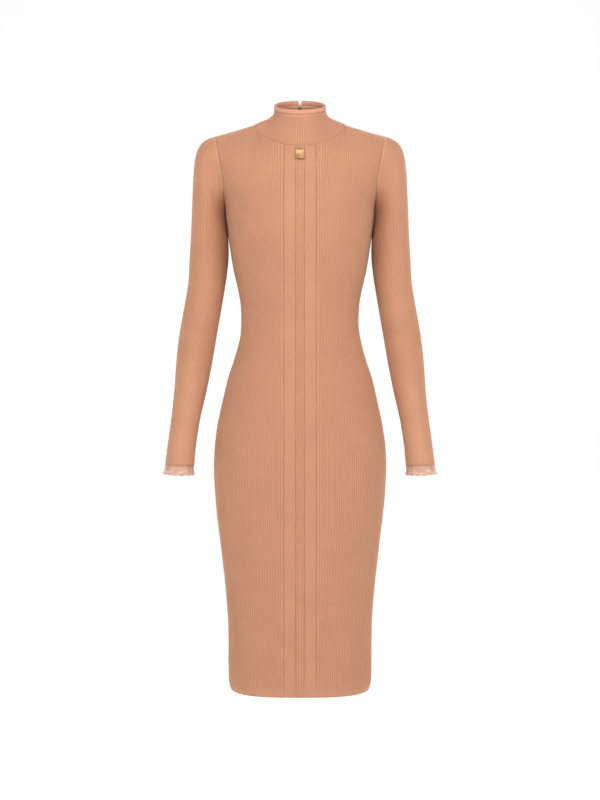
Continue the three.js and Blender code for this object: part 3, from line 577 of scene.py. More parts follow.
def neck_base(share):
    """The neckline all round, from the zip's right edge by the front to its left edge."""
    point = half_neck(2 * share if share <= 0.5 else 2 - 2 * share)
    return Vector((-point.x if share <= 0.5 else point.x, point.y, point.z))


def neck_turn(base):
    """Angle on the collar's top ring that lies opposite a point of the neckline."""
    return math.atan2((base.y - COLLAR_TOP["y"]) / COLLAR_TOP["deep"], base.x / COLLAR_TOP["half"])


ZIP_COS = math.cos(neck_turn(NECK_WALK["back"].at(ZIP_EDGE)))


def collar_top(base, above=0.0, beyond=0.0):
    """A point of a ring over the collar's top, opposite a point of the neckline."""
    turn = neck_turn(base)
    cos = math.cos(turn)
    half = COLLAR_TOP["half"] + beyond
    x = half * cos
    if base.y > 0:
        x = math.copysign(lerp(ZIP_EDGE, half, (abs(cos) - ZIP_COS) / (1 - ZIP_COS)), base.x)
    y = COLLAR_TOP["y"] + (COLLAR_TOP["deep"] + beyond) * math.sin(turn)
    return Vector((x, y, COLLAR_TOP["z"] + COLLAR_TOP["tilt"] * math.sin(turn) + above))


def collar_place(base, t):
    """A point of the collar, from the neckline up to its binding."""
    top = collar_top(base, -BINDING_HEIGHT)
    steep = COLLAR_LEAN["front" if base.y < 0 else "back"]
    round_share = abs(math.sin(math.atan2(base.y, base.x)))
    lean = math.radians(lerp(COLLAR_LEAN_SIDE, steep, round_share**1.3))
    inward = Vector((top.x - base.x, top.y - base.y, 0)).normalized()
    leave = inward * math.cos(lean) + Vector((0, 0, math.sin(lean)))
    span = (top - base).length
    return bezier(base, base + leave * (0.42 * span), top - Vector((0, 0, 0.4 * span)), top, t)


# Knitting a sheet: a grid whose points are moved onto the form, then raised into ribs


class Knot:
    """A point of cloth: its place, how far it stands out, its rib and course, and how much painted
    shade it takes, as in a groove between ribs."""

    __slots__ = ("place", "rise", "rib", "course", "groove")

    def __init__(self, place, rise, rib, course, groove=0.0):
        self.place, self.rise, self.rib, self.course, self.groove = place, rise, rib, course, groove


def bunched_and_shaded(place):
    """1 by the armpit, on the body and on the sleeve, where the knit swells as it bunches and takes
    painted shade.
    """
    off = abs(place.x) - BUNCH_AND_SHADE["x"]
    near = math.exp(-((off / BUNCH_AND_SHADE["outwards" if off > 0 else "inwards"]) ** 2))
    return near * smooth(place.z, -330, -200) * (1 - smooth(place.z, -160, -110))


def rib_wave(rib):
    """1 on a rib's crest, 0 in its groove."""
    return 0.5 + 0.5 * math.cos(2 * math.pi * rib)


def lay_grid(work, lattice, mirror=False, turned=False):
    """Adds a grid to the mesh with its points on a lattice of knots, columns first. A turned
    grid takes the columns from the last to the first."""
    across, up = len(lattice) - 1, len(lattice[0]) - 1
    uv = work.loops.layers.uv.get("UVMap") or work.loops.layers.uv.new("UVMap")
    floats = work.verts.layers.float
    rise = floats.get("rise") or floats.new("rise")
    groove = floats.get("groove") or floats.new("groove")
    made = bmesh.ops.create_grid(work, x_segments=across, y_segments=up, size=0.5, calc_uvs=True)
    knots = {}
    for vert in made["verts"]:
        i = round((vert.co.x + 0.5) * across)
        k = round((vert.co.y + 0.5) * up)
        knot = lattice[across - i if turned else i][k]
        knots[vert] = knot
        sign = -1 if mirror else 1
        vert.co = Vector((sign * knot.place.x, knot.place.y, knot.place.z))
        vert[rise] = knot.rise + BUNCH_AND_SHADE["rise"] * bunched_and_shaded(knot.place)
        # painted shade: by the armpit the knit takes more of the darker groove colour
        vert[groove] = knot.groove + BUNCH_AND_SHADE["shade"] * bunched_and_shaded(knot.place)
    for face in {face for vert in made["verts"] for face in vert.link_faces}:
        for loop in face.loops:
            knot = knots[loop.vert]
            loop[uv].uv = (knot.rib, knot.course)


def crease_depth(creases, u, z, stretch=1.0):
    """How far the creases sink the cloth at a place of its own sheet."""
    total = 0
    for (u0, z0), (u1, z1), width, depth in creases:
        a, b = (u1 - u0) * stretch, z1 - z0
        p, q = (u - u0) * stretch, z - z0
        size = math.hypot(a, b)
        run = (p * a + q * b) / size
        off = (p * b - q * a) / size + 0.06 * size * math.sin(math.pi * clamp(run / size, 0, 1))
        if -0.35 * size < run < 1.35 * size and abs(off) < 3 * width:
            taper = smooth(run, -0.35 * size, 0.35 * size) * (1 - smooth(run, 0.65 * size, 1.35 * size))
            total += depth * taper * math.exp(-((off / width) ** 2))
    return total


def raise_cloth(work, sink=lambda place: 0):
    """Welds the sheets, then moves each point out along the cloth by its own rise, less what
    sink gives for its place."""
    bmesh.ops.remove_doubles(work, verts=work.verts, dist=0.04)
    work.normal_update()
    rise = work.verts.layers.float["rise"]
    moves = [(vert, vert.normal * (vert[rise] - sink(vert.co))) for vert in work.verts]
    for vert, move in moves:
        vert.co += move


def finish_mesh(work, name, material, body_name="dress", replaces=(), smooth_faces=True):
    """Makes an object of the mesh in millimetres, and gives it its finish and its body."""
    bmesh.ops.scale(work, vec=(MM, MM, MM), verts=work.verts)
    mesh = bpy.data.meshes.new(name)
    work.to_mesh(mesh)
    work.free()
    for face in mesh.polygons:
        face.use_smooth = smooth_faces
    made = bpy.data.objects.new(name, mesh)
    bpy.context.scene.collection.objects.link(made)
    mesh.materials.append(material)
    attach(made, body_name)
    if replaces:
        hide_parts(*replaces)
    return made


def thicken(piece, wall):
    """Gives a sheet its thickness, inwards."""
    shell = piece.modifiers.new("Cloth thickness", "SOLIDIFY")
    shell.thickness = wall * MM
    shell.offset = -1
    shell.use_rim = True


def finish_knit(work, node):
    """Makes a rib-knit piece that stands for a CAD node."""
    piece = finish_mesh(work, node + "_knit", finish_of("rib knit"), replaces=[node])
    thicken(piece, WALL)
    return piece


def finish_metal(work, name, node, body_name="dress", smooth_faces=True):
    """Makes a gold piece that stands for a CAD node."""
    finish_mesh(work, name, finish_of("polished gold"), body_name, [node], smooth_faces)


def knit_pair(stem, lattice, sink=lambda place: 0):
    """The names and meshes of a left and a right piece, which mirror each other."""
    for name, mirror in both_sides(stem):
        work = bmesh.new()
        lay_grid(work, lattice, mirror, turned=mirror)
        raise_cloth(work, sink)
        yield name, work


def both_sides(stem):
    """The names of a left and a right piece, and whether each is the mirror image."""
    return (stem + "_left", False), (stem + "_right", True)


# Finishes


class Nodes:
    """A node tree, with short ways to add what the finishes use."""

    def __init__(self, tree):
        self.tree = tree

    def set(self, node, inputs):
        """Sets a node's inputs, by place or by name, to values or to other nodes' outputs."""
        for key, value in inputs.items() if isinstance(inputs, dict) else enumerate(inputs):
            if isinstance(value, bpy.types.NodeSocket):
                self.tree.links.new(value, node.inputs[key])
            elif value is not None:
                node.inputs[key].default_value = value
        return node

    def add(self, kind, inputs=(), **settings):
        """A new node."""
        node = self.tree.nodes.new(kind)
        for key, value in settings.items():
            setattr(node, key, value)
        return self.set(node, inputs)

    def uv(self):
        """The UV map's two counts."""
        uv = self.add("ShaderNodeUVMap", uv_map="UVMap").outputs[0]
        parts = self.add("ShaderNodeSeparateXYZ", (uv,))
        return parts.outputs[0], parts.outputs[1]

    def math(self, operation, *values):
        """One step of arithmetic."""
        return self.add("ShaderNodeMath", values, operation=operation).outputs[0]

    def wave(self, value):
        """A wave with one crest to each whole number."""
        return self.math("SINE", self.math("MULTIPLY", value, 2 * math.pi))

    def stretch(self, place, scale):
        """A place, scaled along each axis."""
        return self.add("ShaderNodeMapping", {"Vector": place, "Scale": scale}).outputs[0]

    def noise(self, place, scale, detail, roughness):
        """Cloudy noise."""
        return self.add("ShaderNodeTexNoise", (place, None, scale, detail, roughness)).outputs[0]

    def ramp(self, value, low, high, start=0.0, end=1.0):
        """A value that goes evenly from start at low to end at high."""
        return self.add("ShaderNodeMapRange", (value, low, high, start, end)).outputs[0]

    def mix(self, share, first, second):
        """A mix of two colours, the first of which may be another node's."""
        if not isinstance(first, bpy.types.NodeSocket):
            first = (*first, 1)
        inputs = {"Factor": share, "A": first, "B": (*second, 1)}
        return self.add("ShaderNodeMix", inputs, data_type="RGBA").outputs["Result"]

    def bump(self, height, strength, distance):
        """Fine relief."""
        inputs = {"Strength": strength, "Distance": distance, "Height": height}
        return self.add("ShaderNodeBump", inputs).outputs[0]

    def shade(self, **inputs):
        """Sets the shader's inputs by their names, with each space as a low line."""
        named = {key.replace("_", " "): value for key, value in inputs.items()}
        self.set(self.tree.nodes["Principled BSDF"], named)


def new_material(name):
    """A material and its nodes."""
    made = bpy.data.materials.new(name)
    made.use_nodes = True
    return made, Nodes(made.node_tree)


def knit_material(name, colour, groove):
    """Matt rib knit: the UV map counts ribs across and stitch courses along them, and an
    attribute of the cloth says how much painted shade it takes, as the darker groove colour
    mixed in where shade falls: in the grooves, by the armpit and over plain knit."""
    made, nodes = new_material(name)
    rib, course = nodes.uv()
    off_crest = nodes.math("PINGPONG", rib, 0.5)
    wave = nodes.wave(nodes.math("MULTIPLY_ADD", off_crest, 1.1, course))
    stitch = nodes.math("MULTIPLY_ADD", wave, 0.5, 0.5)
    place = nodes.add("ShaderNodeTexCoord").outputs["Object"]
    fibre = nodes.noise(place, 1500.0, 3.0, 0.6)
    mottle = nodes.noise(place, 22.0, 4.0, 0.55)
    groove_shade = nodes.add("ShaderNodeAttribute", attribute_name="groove").outputs["Fac"]
    height = nodes.math("MULTIPLY_ADD", fibre, 0.35, stitch)
    # painted shade: the groove attribute, the stitches' hollows and a little everywhere mix in the
    # darker groove colour
    tone = nodes.math("MULTIPLY_ADD", height, -0.22, nodes.math("ADD", groove_shade, 0.12))
    brightness = nodes.ramp(mottle, 0.3, 0.7, 0.965, 1.03)
    varied = {"Color": nodes.mix(tone, colour, groove), "Value": brightness}
    nodes.shade(
        Base_Color=nodes.add("ShaderNodeHueSaturation", varied).outputs[0],
        Normal=nodes.bump(height, 0.35, 0.0003),
        Roughness=0.82,
        Specular_IOR_Level=0.25,
        Sheen_Weight=0.12,
        Sheen_Roughness=0.45,
        Sheen_Tint=(1.0, 0.86, 0.76, 1),
    )
    return made


def edging_material(name, colour, shadow):
    """Fine satin edging with close ridges round it, painted shadow between them, and painted
    highlights towards its lower edge.
    """
    made, nodes = new_material(name)
    _, course = nodes.uv()
    place = nodes.add("ShaderNodeTexCoord").outputs["Object"]
    fibre = nodes.noise(place, 1200.0, 3.0, 0.6)
    tone = nodes.math("MULTIPLY_ADD", nodes.wave(course), 0.25, fibre)
    base = nodes.mix(nodes.ramp(tone, 0.2, 0.8), shadow, colour)
    cloud = nodes.noise(nodes.stretch(place, (0.6, 0.6, 1.6)), 190.0, 2.0, 0.55)
    low = nodes.ramp(course, 1.5, 7.0, 0.15, 1.0)
    # painted highlight: pale streaks mixed into the colour towards the lower edge
    painted_highlight = nodes.math("MULTIPLY", low, nodes.ramp(cloud, 0.4, 0.72))
    bright = [min(1, c * 1.2 + 0.1) for c in colour]
    nodes.shade(
        Base_Color=nodes.mix(painted_highlight, base, bright),
        Normal=nodes.bump(tone, 0.4, 0.0003),
        Roughness=0.38,
        Sheen_Weight=0.3,
        Sheen_Roughness=0.35,
    )
    return made


def tape_material(name, colour, shadow):
    """Woven tape or thread with a fine zigzag weave."""
    made, nodes = new_material(name)
    across, up = nodes.uv()
    zigzag = nodes.math("PINGPONG", across, 0.5)
    weave = nodes.wave(nodes.math("MULTIPLY_ADD", zigzag, 2.0, up))
    share = nodes.math("MULTIPLY_ADD", weave, 0.4, 0.5)
    nodes.shade(
        Base_Color=nodes.mix(share, shadow, colour),
        Normal=nodes.bump(weave, 0.5, 0.0002),
        Roughness=0.7,
    )
    return made


def gold_material(name, colour):
    """Polished gold-coloured metal with faint rubbing marks."""
    made, nodes = new_material(name)
    place = nodes.add("ShaderNodeTexCoord").outputs["Object"]
    rub = nodes.noise(nodes.stretch(place, (1, 1, 0.15)), 1800.0, 4.0, 0.6)
    cloud = nodes.noise(place, 160.0, 2.0, 0.5)
    cloudy = nodes.math("MULTIPLY_ADD", cloud, 0.2, 0.12)
    nodes.shade(
        Base_Color=nodes.mix(nodes.ramp(cloud, 0.3, 0.6), [c * 0.86 for c in colour], colour),
        Normal=nodes.bump(rub, 0.08, 0.0001),
        Roughness=nodes.math("MULTIPLY_ADD", rub, 0.16, cloudy),
        Metallic=1,
    )
    return made


# How bright a woven finish is beside the knit, at its lightest and its darkest
WOVEN = {"zip tape": (0.85, 0.6), "seam thread": (1.12, 0.95), "sewing thread": (0.92, 0.75)}


def finish_of(name):
    """One of the dress's finishes, made once from the settings."""
    if name in bpy.data.materials:
        return bpy.data.materials[name]
    look = bpy.context.scene.dress_look
    if name == "rib knit":
        return knit_material(name, look.knit_colour, look.groove_shade_colour)
    if name == "plain band":
        return knit_material(name, look.band_colour, look.groove_shade_colour)
    if name == "satin edging":
        return edging_material(name, look.edging_colour, [c * 0.72 for c in look.edging_colour])
    if name in WOVEN:
        light, dark = ([c * share for c in look.knit_colour] for share in WOVEN[name])
        return tape_material(name, light, dark)
    return gold_material(name, look.gold_colour)


# Settings


def length(name, description, default, low, high):
    """The setting of a length, from its sizes in millimetres."""
    return FloatProperty(
        name=name, description=description, default=default * MM, min=low * MM, max=high * MM,
        unit="LENGTH", precision=5,
    )


def number(name, description, default, low, high):
    """The setting of a whole number."""
    return IntProperty(name=name, description=description, default=default, min=low, max=high)


def factor(name, description, default, high):
    """The setting of a factor."""
    return FloatProperty(
        name=name, description=description, default=default, min=0, max=high, subtype="FACTOR",
    )


def colour(name, description, default):
    """The setting of a colour."""
    return FloatVectorProperty(
        name=name, description=description, default=default, min=0, max=1, subtype="COLOR",
    )


class DRESS_PG_knit(bpy.types.PropertyGroup):
    """Sizes of the knit"""

    rib_rise: length("Rib rise", "How far a rib stands over its groove", 0.9, 0, 2)
    body_ribs: number("Body ribs", "Ribs across half the front or half the back", 44, 10, 60)
    sleeve_ribs: number("Sleeve ribs", "Ribs round a sleeve", 76, 10, 90)
    collar_ribs: number("Collar ribs", "Ribs round the collar", 96, 10, 140)
    course: length("Course", "Height of one row of stitches", 1.5, 0.5, 5)
    band_pitch: length(
        "Herringbone pitch", "Height from one herringbone line to the next", 6.2, 3, 20,
    )
    band_slant: length(
        "Herringbone slant", "How far a line climbs towards the centre ribs", 26, 0, 60,
    )
    crease: factor("Creases", "Depth of the soft creases, 1 for the dress as shown", 1, 2)


class DRESS_PG_trim(bpy.types.PropertyGroup):
    """Sizes of the edging, the zip and the stitching"""

    waves: number("Cuff waves", "Waves round the edging of a cuff", 15, 4, 40)
    tooth_pitch: length(
        "Tooth pitch", "Distance from one zip tooth to the next on its tape", 2.4, 1, 6,
    )
    stitch_pitch: length("Stitch pitch", "Distance from one sewing stitch to the next", 3, 1, 8)


class DRESS_PG_look(bpy.types.PropertyGroup):
    """Colours of the dress and the studio"""

    knit_colour: colour("Knit", "Colour of the ribs", (0.487, 0.245, 0.145))
    # painted shade: the darker colour mixed into the knit where shade falls, in the grooves and by the
    # armpit
    groove_shade_colour: colour("Grooves", "Colour down between the ribs", (0.336, 0.146, 0.08))
    band_colour: colour(
        "Collar band", "Colour of the plain band on the collar", (0.52, 0.245, 0.165),
    )
    edging_colour: colour("Edging", "Colour of the cuffs' satin edging", (0.49, 0.285, 0.205))
    gold_colour: colour("Gold", "Colour of the zip and the charm", (0.72, 0.45, 0.21))
    floor_colour: colour("Floor", "Colour of the studio floor", (0.92, 0.92, 0.92))
    floor_glow: factor(
        "Floor glow", "Light of the floor's own, which keeps it pale far off", 0.66, 2,
    )
    front_light: factor(
        "Front and back light", "Brightness of the studio before and behind", 1.06, 3,
    )
    side_light: factor(
        "Side light", "Brightness of the studio at the sides and overhead", 0.28, 3,
    )
    key_power: FloatProperty(
        name="Key lamps", description="Power that the lamps of one side share",
        default=12, min=0, max=500, unit="POWER",
    )
    floor_drop: length(
        "Floor below hem", "Height at which the dress hangs over the floor", 330, 20, 1000,
    )


# Pieces of cloth


def body_rows(strand):
    """Heights of a strand's points, from the hem to its end. They are level up to the place
    where the armhole's foot ends, so that neighbouring sheets meet point to point."""
    heights = [lerp(strand.hem_z, HEM_ROWS_Z, i / HEM_ROWS) for i in range(HEM_ROWS)]
    count = round((YOKE_Z - HEM_ROWS_Z) / ROW_STEP)
    heights += [lerp(HEM_ROWS_Z, YOKE_Z, i / count) for i in range(count)]
    turn_z = armhole_end(strand.side, ARM_RIBS).z
    yoke_top = strand.top.z if strand.under_arm else turn_z
    heights += [lerp(YOKE_Z, yoke_top, i / ARM_RIBS) for i in range(ARM_RIBS)]
    if strand.under_arm:
        return [*heights, strand.top.z]
    shares = [1 - (1 - i / SHOULDER_ROWS) ** 1.5 for i in range(SHOULDER_ROWS + 1)]
    return heights + [lerp(turn_z, strand.top.z, share) for share in shares]


def edge_sink(strand, z, end):
    """How far the cloth turns in at the hem and dips at the seam where a strand ends."""
    hem = HEM_CURL * (1 - smooth(z, strand.hem_z - 4, strand.hem_z + HEM_PLAIN))
    return hem + SEAM_SINK * (1 - smooth(end - z, 0, 4))


def body_knots(strand, rib, knit, flat=False, sunk=0.0):
    """Knots of a strand. A flat strand carries no rib, as under the arm."""
    heights = body_rows(strand)
    knots = []
    end = heights[-1]
    for z in heights:
        knitted = smooth(z, strand.hem_z + 0.7 * HEM_PLAIN, strand.hem_z + 1.3 * HEM_PLAIN)
        under_arm = smooth(-z, 160, 200) if flat else 1
        shown = knitted * smooth(end - z, 0, 5) * under_arm
        rise = knit.rib_rise / MM * rib_wave(rib) * shown - edge_sink(strand, z, end) - sunk
        # painted shade: the grooves between ribs, and the plain knit by the hem, take the darker groove
        # colour
        groove = (1 - rib_wave(rib)) * shown + PLAIN_SHADE * (1 - knitted)
        knots.append(Knot(strand.place(z), rise, rib, z * MM / knit.course, groove))
    return knots


def even_strands(side, knit):
    """The strands of half the front or back that follow the even ribs, and the place in them
    where the armhole starts."""
    samples = RIB_POINTS * knit.body_ribs
    split = round(samples * (1 - ARM_SHARE[side]))
    shares = [lerp(0, 1 - ARM_SHARE[side], i / split) for i in range(split + 1)]
    arm = samples - split
    shares += [lerp(1 - ARM_SHARE[side], 1, i / arm) for i in range(1, arm + 1)]
    return [Strand(side, share=share) for share in shares], split


def even_lattices(side, knit):
    """Half a body's even ribs as two lattices: up to the neck and shoulder, and under the arm."""
    strands, split = even_strands(side, knit)
    count = len(strands) - 1
    lattice = []
    for i, strand in enumerate(strands):
        sunk = SEAM_SINK if i == count else 0
        flat = i > count - FLAT_COLUMNS
        lattice.append(body_knots(strand, i / RIB_POINTS, knit, flat, sunk))
    shared = lattice[split][: len(body_rows(strands[-1]))]
    return lattice[: split + 1], [shared, *lattice[split + 1 :]]


def knit_body(work, side, knit, lattices, mirrors):
    """Lays a side's sheets, whose columns run from the centre outwards, and creases them."""
    for mirror in mirrors:
        for lattice in lattices:
            lay_grid(work, lattice, mirror, turned=mirror == (side == "front"))
    raise_cloth(work, lambda at: knit.crease * crease_depth(CREASES[side], at.x, at.z))


class DRESS_OT_front(bpy.types.Operator):
    """Knit the front, with its herringbone bands beside the centre ribs"""

    bl_idname = "dress.front"
    bl_label = "Front"

    def execute(self, context):
        knit = context.scene.dress_knit
        centre = []
        for i in range(CENTRE_COLUMNS + 1):
            strand = Strand("front", at=BAND_INNER * i / CENTRE_COLUMNS)
            sunk = LINE_SINK if i == CENTRE_COLUMNS else 0
            centre.append(body_knots(strand, strand.at / CENTRE_RIB, knit, sunk=sunk))
        edge = []
        for i in range(EDGE_COLUMNS):
            share = i / EDGE_COLUMNS
            strand = Strand("front", at=lerp(BAND_OUTER, PANEL_HALF, share))
            knots = body_knots(strand, 0.5 + share, knit)
            for knot in knots:
                knot.rise *= lerp(1.2, 1.7, smooth(knot.place.z, -380, -120))
            edge.append(knots)
        main, arm = even_lattices("front", knit)
        work = bmesh.new()
        lattices = [centre, edge + main, arm, self.band(knit)]
        knit_body(work, "front", knit, lattices, (False, True))
        finish_knit(work, "front")
        return {"FINISHED"}

    def band(self, knit):
        """One herringbone band: its rows of points climb towards the centre with its lines."""
        strands = [Strand("front", at=lerp(BAND_INNER, BAND_OUTER, at)) for at in BAND_COLUMNS]
        low = min(strand.hem_z for strand in strands)
        high = max(strand.top.z for strand in strands)
        slant, step = knit.band_slant / MM, knit.band_pitch / MM / RIB_POINTS
        rows = math.ceil((high - low + slant) / step) + 1
        lattice = []
        for share, strand in zip(BAND_COLUMNS, strands):
            start = low - slant + slant * (1 - share)
            is_edge = share in (0, 1)
            column = []
            for k in range(rows):
                z = clamp(start + k * step, strand.hem_z, strand.top.z)
                wave = rib_wave(k / RIB_POINTS)
                shown = smooth(z, HEM_ROWS_Z - 45, HEM_ROWS_Z) * smooth(strand.top.z - z, 0, 6)
                rise = -edge_sink(strand, z, strand.top.z)
                # painted shade: the dipped band edges, the grooves between the herringbone lines and
                # the plain knit below take the darker groove colour
                if is_edge:
                    rise -= LINE_SINK
                    groove = LINE_SHADE
                else:
                    rise += knit.rib_rise / MM * wave * shown
                    groove = lerp(PLAIN_SHADE, BAND_SHADE * (1 - wave), shown)
                course = share * BAND_WIDTH * MM / knit.course
                column.append(Knot(strand.place(z), rise, k / RIB_POINTS, course, groove))
            lattice.append(column)
        return lattice


class DRESS_OT_back(bpy.types.Operator):
    """Knit the two halves of the back"""

    bl_idname = "dress.back"
    bl_label = "Back"

    def execute(self, context):
        knit = context.scene.dress_knit
        lattices = even_lattices("back", knit)
        for knot in lattices[0][0]:
            knot.rise = -OPEN_EDGE_SINK
        for name, mirror in both_sides("back"):
            work = bmesh.new()
            knit_body(work, "back", knit, lattices, (mirror,))
            piece = finish_knit(work, name)
        return {"FINISHED"}


class DRESS_OT_sleeves(bpy.types.Operator):
    """Knit the two sleeves"""

    bl_idname = "dress.sleeves"
    bl_label = "Sleeves"

    def execute(self, context):
        knit = context.scene.dress_knit
        columns = RIB_POINTS * knit.sleeve_ribs
        row = (UPPER_ARM_Z - CUFF_Z) / ARM_ROWS * MM / knit.course
        lattice = []
        for i in range(columns + 1):
            turn = 2 * math.pi * (i % columns) / columns
            rib = i / RIB_POINTS + 0.5
            column = []
            for k in range(ARM_ROWS + CAP_ROWS + 1):
                if k <= ARM_ROWS:
                    z = lerp(CUFF_Z, UPPER_ARM_Z, k / ARM_ROWS)
                    place = sleeve_ring(z, turn)
                    ends = smooth(z - CUFF_Z, 0, 8)
                else:
                    t = 1 - (1 - (k - ARM_ROWS) / CAP_ROWS) ** 1.25
                    place = sleeve_cap(turn, t)
                    z = place.z
                    ends = smooth((1 - t) * 12, 0, 1)
                shown = ends * lerp(0.35, 0.9, smooth(z, -600, -400))
                rise = knit.rib_rise / MM * rib_wave(rib) * shown
                # painted shade in the grooves between the sleeve's ribs
                column.append(Knot(place, rise, rib, k * row, (1 - rib_wave(rib)) * shown))
            lattice.append(column)

        def sink(at):
            z = min(at.z, UPPER_ARM_Z)
            out = Vector((abs(at.x), at.y, z)) - sleeve_centre(z)
            share = (math.atan2(-out.y, -out.x) / (2 * math.pi)) % 1
            return knit.crease * crease_depth(SLEEVE_CREASES, share, at.z, SLEEVE_GIRTH)

        for name, work in knit_pair("sleeve", lattice, sink):
            finish_knit(work, name)
        return {"FINISHED"}


class DRESS_OT_cuff_edges(bpy.types.Operator):
    """Make the wavy satin edging below the sleeves"""

    bl_idname = "dress.cuff_edges"
    bl_label = "Cuff edging"

    def execute(self, context):
        trim = context.scene.dress_trim
        columns = WAVE_POINTS * trim.waves
        centre = sleeve_centre(CUFF_Z)
        down = (centre - sleeve_centre(CUFF_Z + 20)).normalized()
        lattice = []
        for i in range(columns + 1):
            turn = 2 * math.pi * (i % columns) / columns
            start = sleeve_ring(CUFF_Z, turn)
            away = (start - centre).normalized()
            phase = trim.waves * turn
            longer = CUFF_EDGE["front_drop"] * max(0, math.sin(turn)) ** 1.5
            scallop = 0.6 * math.sin(phase + 0.9) + 0.35 * math.sin(2.7 * turn + 1)
            height = CUFF_EDGE["height"] + longer + scallop
            column = []
            for k in range(EDGING_ROWS + 1):
                share = 1 - k / EDGING_ROWS
                flare = CUFF_EDGE["flare"] * share**2.2
                wave = CUFF_EDGE["rise"] * math.sin(phase) * (0.1 + 0.9 * share**1.2)
                place = start + down * (height * share) + away * (flare + wave)
                rise = -EDGING_TUCK if k == EDGING_ROWS else 0
                column.append(Knot(place, rise, i / RIB_POINTS, EDGING_ROWS * share))
            lattice.append(column)
        for name, work in knit_pair("cuff_edge", lattice):
            material = finish_of("satin edging")
            piece = finish_mesh(work, name + "_trim", material, replaces=[name])
            thicken(piece, CUFF_EDGE["wall"])
        return {"FINISHED"}


class DRESS_OT_collar(bpy.types.Operator):
    """Knit the funnel collar, open at the back"""

    bl_idname = "dress.collar"
    bl_label = "Collar"

    def execute(self, context):
        knit = context.scene.dress_knit
        columns = RIB_POINTS * knit.collar_ribs
        lattice = []
        for i in range(columns + 1):
            base = neck_base(i / columns)
            length = (collar_place(base, 1) - collar_place(base, 0)).length
            rib = i / RIB_POINTS + 0.5
            wave = rib_wave(rib)
            column = []
            for k in range(COLLAR_ROWS + 1):
                t = k / COLLAR_ROWS
                ends = smooth(t * length, 0, 4) * smooth((1 - t) * length, 0, 4)
                rise = 0.8 * knit.rib_rise / MM * wave * ends - SEAM_SINK * (1 - ends)
                if i in (0, columns):
                    rise = -OPEN_EDGE_SINK
                course = t * length * MM / knit.course
                # painted shade in the grooves between the collar's ribs
                column.append(Knot(collar_place(base, t), rise, rib, course, (1 - wave) * ends))
            lattice.append(column)
        work = bmesh.new()
        lay_grid(work, lattice)
        raise_cloth(work)
        finish_knit(work, "collar")
        return {"FINISHED"}


class DRESS_OT_collar_binding(bpy.types.Operator):
    """Fold the plain band over the collar's top edge"""

    bl_idname = "dress.collar_binding"
    bl_label = "Collar binding"

    def execute(self, context):
        proud = (BINDING_THICK - WALL) / 2
        outer, inner = proud, proud - BINDING_THICK
        middle = (outer + inner) / 2
        profile = [
            (outer - 0.5, -BINDING_HEIGHT), (outer, -BINDING_HEIGHT + 0.7), (outer + 0.12, -6.2),
            (outer + 0.1, -4), (outer, -2), (outer - 0.45, -0.75), (middle + 0.45, -0.1), (middle, 0),
            (middle - 0.45, -0.1), (inner + 0.45, -0.75), (inner, -2), (inner, -5),
            (inner, -BINDING_HEIGHT + 0.7), (inner + 0.5, -BINDING_HEIGHT),
        ]
        lattice = []
        for i in range(BINDING_COLUMNS + 1):
            base = neck_base(i / BINDING_COLUMNS)
            column = []
            for k in range(len(profile) + 1):
                beyond, above = profile[k % len(profile)]
                place = collar_top(base, above, beyond)
                if i in (0, BINDING_COLUMNS):
                    drop = (above / -BINDING_HEIGHT) ** 0.7
                    place.x = math.copysign(lerp(ZIP_EDGE, NOTCH_FOOT, drop), place.x)
                column.append(Knot(place, 0, i * 0.6, k * 0.9))
            lattice.append(column)
        work = bmesh.new()
        lay_grid(work, lattice)
        bmesh.ops.remove_doubles(work, verts=work.verts, dist=0.02)
        open_edges = [edge for edge in work.edges if edge.is_boundary]
        bmesh.ops.holes_fill(work, edges=open_edges, sides=0)
        bmesh.ops.recalc_face_normals(work, faces=work.faces)
        name, material = "collar_binding_band", finish_of("plain band")
        piece = finish_mesh(work, name, material, replaces=["collar_binding"])
        return {"FINISHED"}


# The zip


def zip_path(x=0.0):
    """Points and ways out of the line of the zip at x, from its end up to the collar's top."""
    places = []
    for i in range(ZIP_SAMPLES + 1):
        z = lerp(ZIP_BOTTOM_Z, neckline("back", 0).z - 1, i / ZIP_SAMPLES)
        places.append(on_body("back", ZIP_EDGE, z))
    base = NECK_WALK["back"].at(ZIP_EDGE)
    places += [collar_place(base, i / COLLAR_SAMPLES) for i in range(COLLAR_SAMPLES + 1)]
    places.append(collar_top(base))
    knots = []
    for i, place in enumerate(places):
        up = places[min(i + 1, len(places) - 1)] - places[max(i - 1, 0)]
        out = Vector((0, up.z, -up.y)).normalized()
        knots.append((Vector((x, place.y, place.z)), out))
    return knots


def frame_of(across, up, out, origin):
    """A frame with those axes and that origin."""
    frame = Matrix.Identity(4)
    for k, axis in enumerate((across, up, out)):
        frame.col[k] = (*axis, 0)
    frame.col[3] = (*origin, 1)
    return frame


def spaced(path, pitch, start=0.0, end=None):
    """Frames at even steps along a path: X across, Y up the path and Z out of it."""
    lengths = [0]
    for (a, _), (b, _) in zip(path, path[1:]):
        lengths.append(lengths[-1] + (b - a).length)
    total = lengths[-1] if end is None else end
    frames = []
    run = start
    while run <= total:
        i = clamp(bisect_right(lengths, run) - 1, 0, len(path) - 2)
        t = (run - lengths[i]) / (lengths[i + 1] - lengths[i])
        (a, out_a), (b, out_b) = path[i], path[i + 1]
        up = (b - a).normalized()
        out = out_a.lerp(out_b, t).normalized()
        across = up.cross(out).normalized()
        frames.append(frame_of(across, up, across.cross(up), a.lerp(b, t)))
        run += pitch
    return frames


def path_length(path):
    """Length of a path."""
    return sum((b - a).length for (a, _), (b, _) in zip(path, path[1:]))


def block(work, frame, size, centre=(0, 0, 0)):
    """A box of that size in a frame."""
    move = frame @ Matrix.Translation(Vector(centre)) @ Matrix.Diagonal((*size, 1))
    return bmesh.ops.create_cube(work, size=1, matrix=move)["verts"]


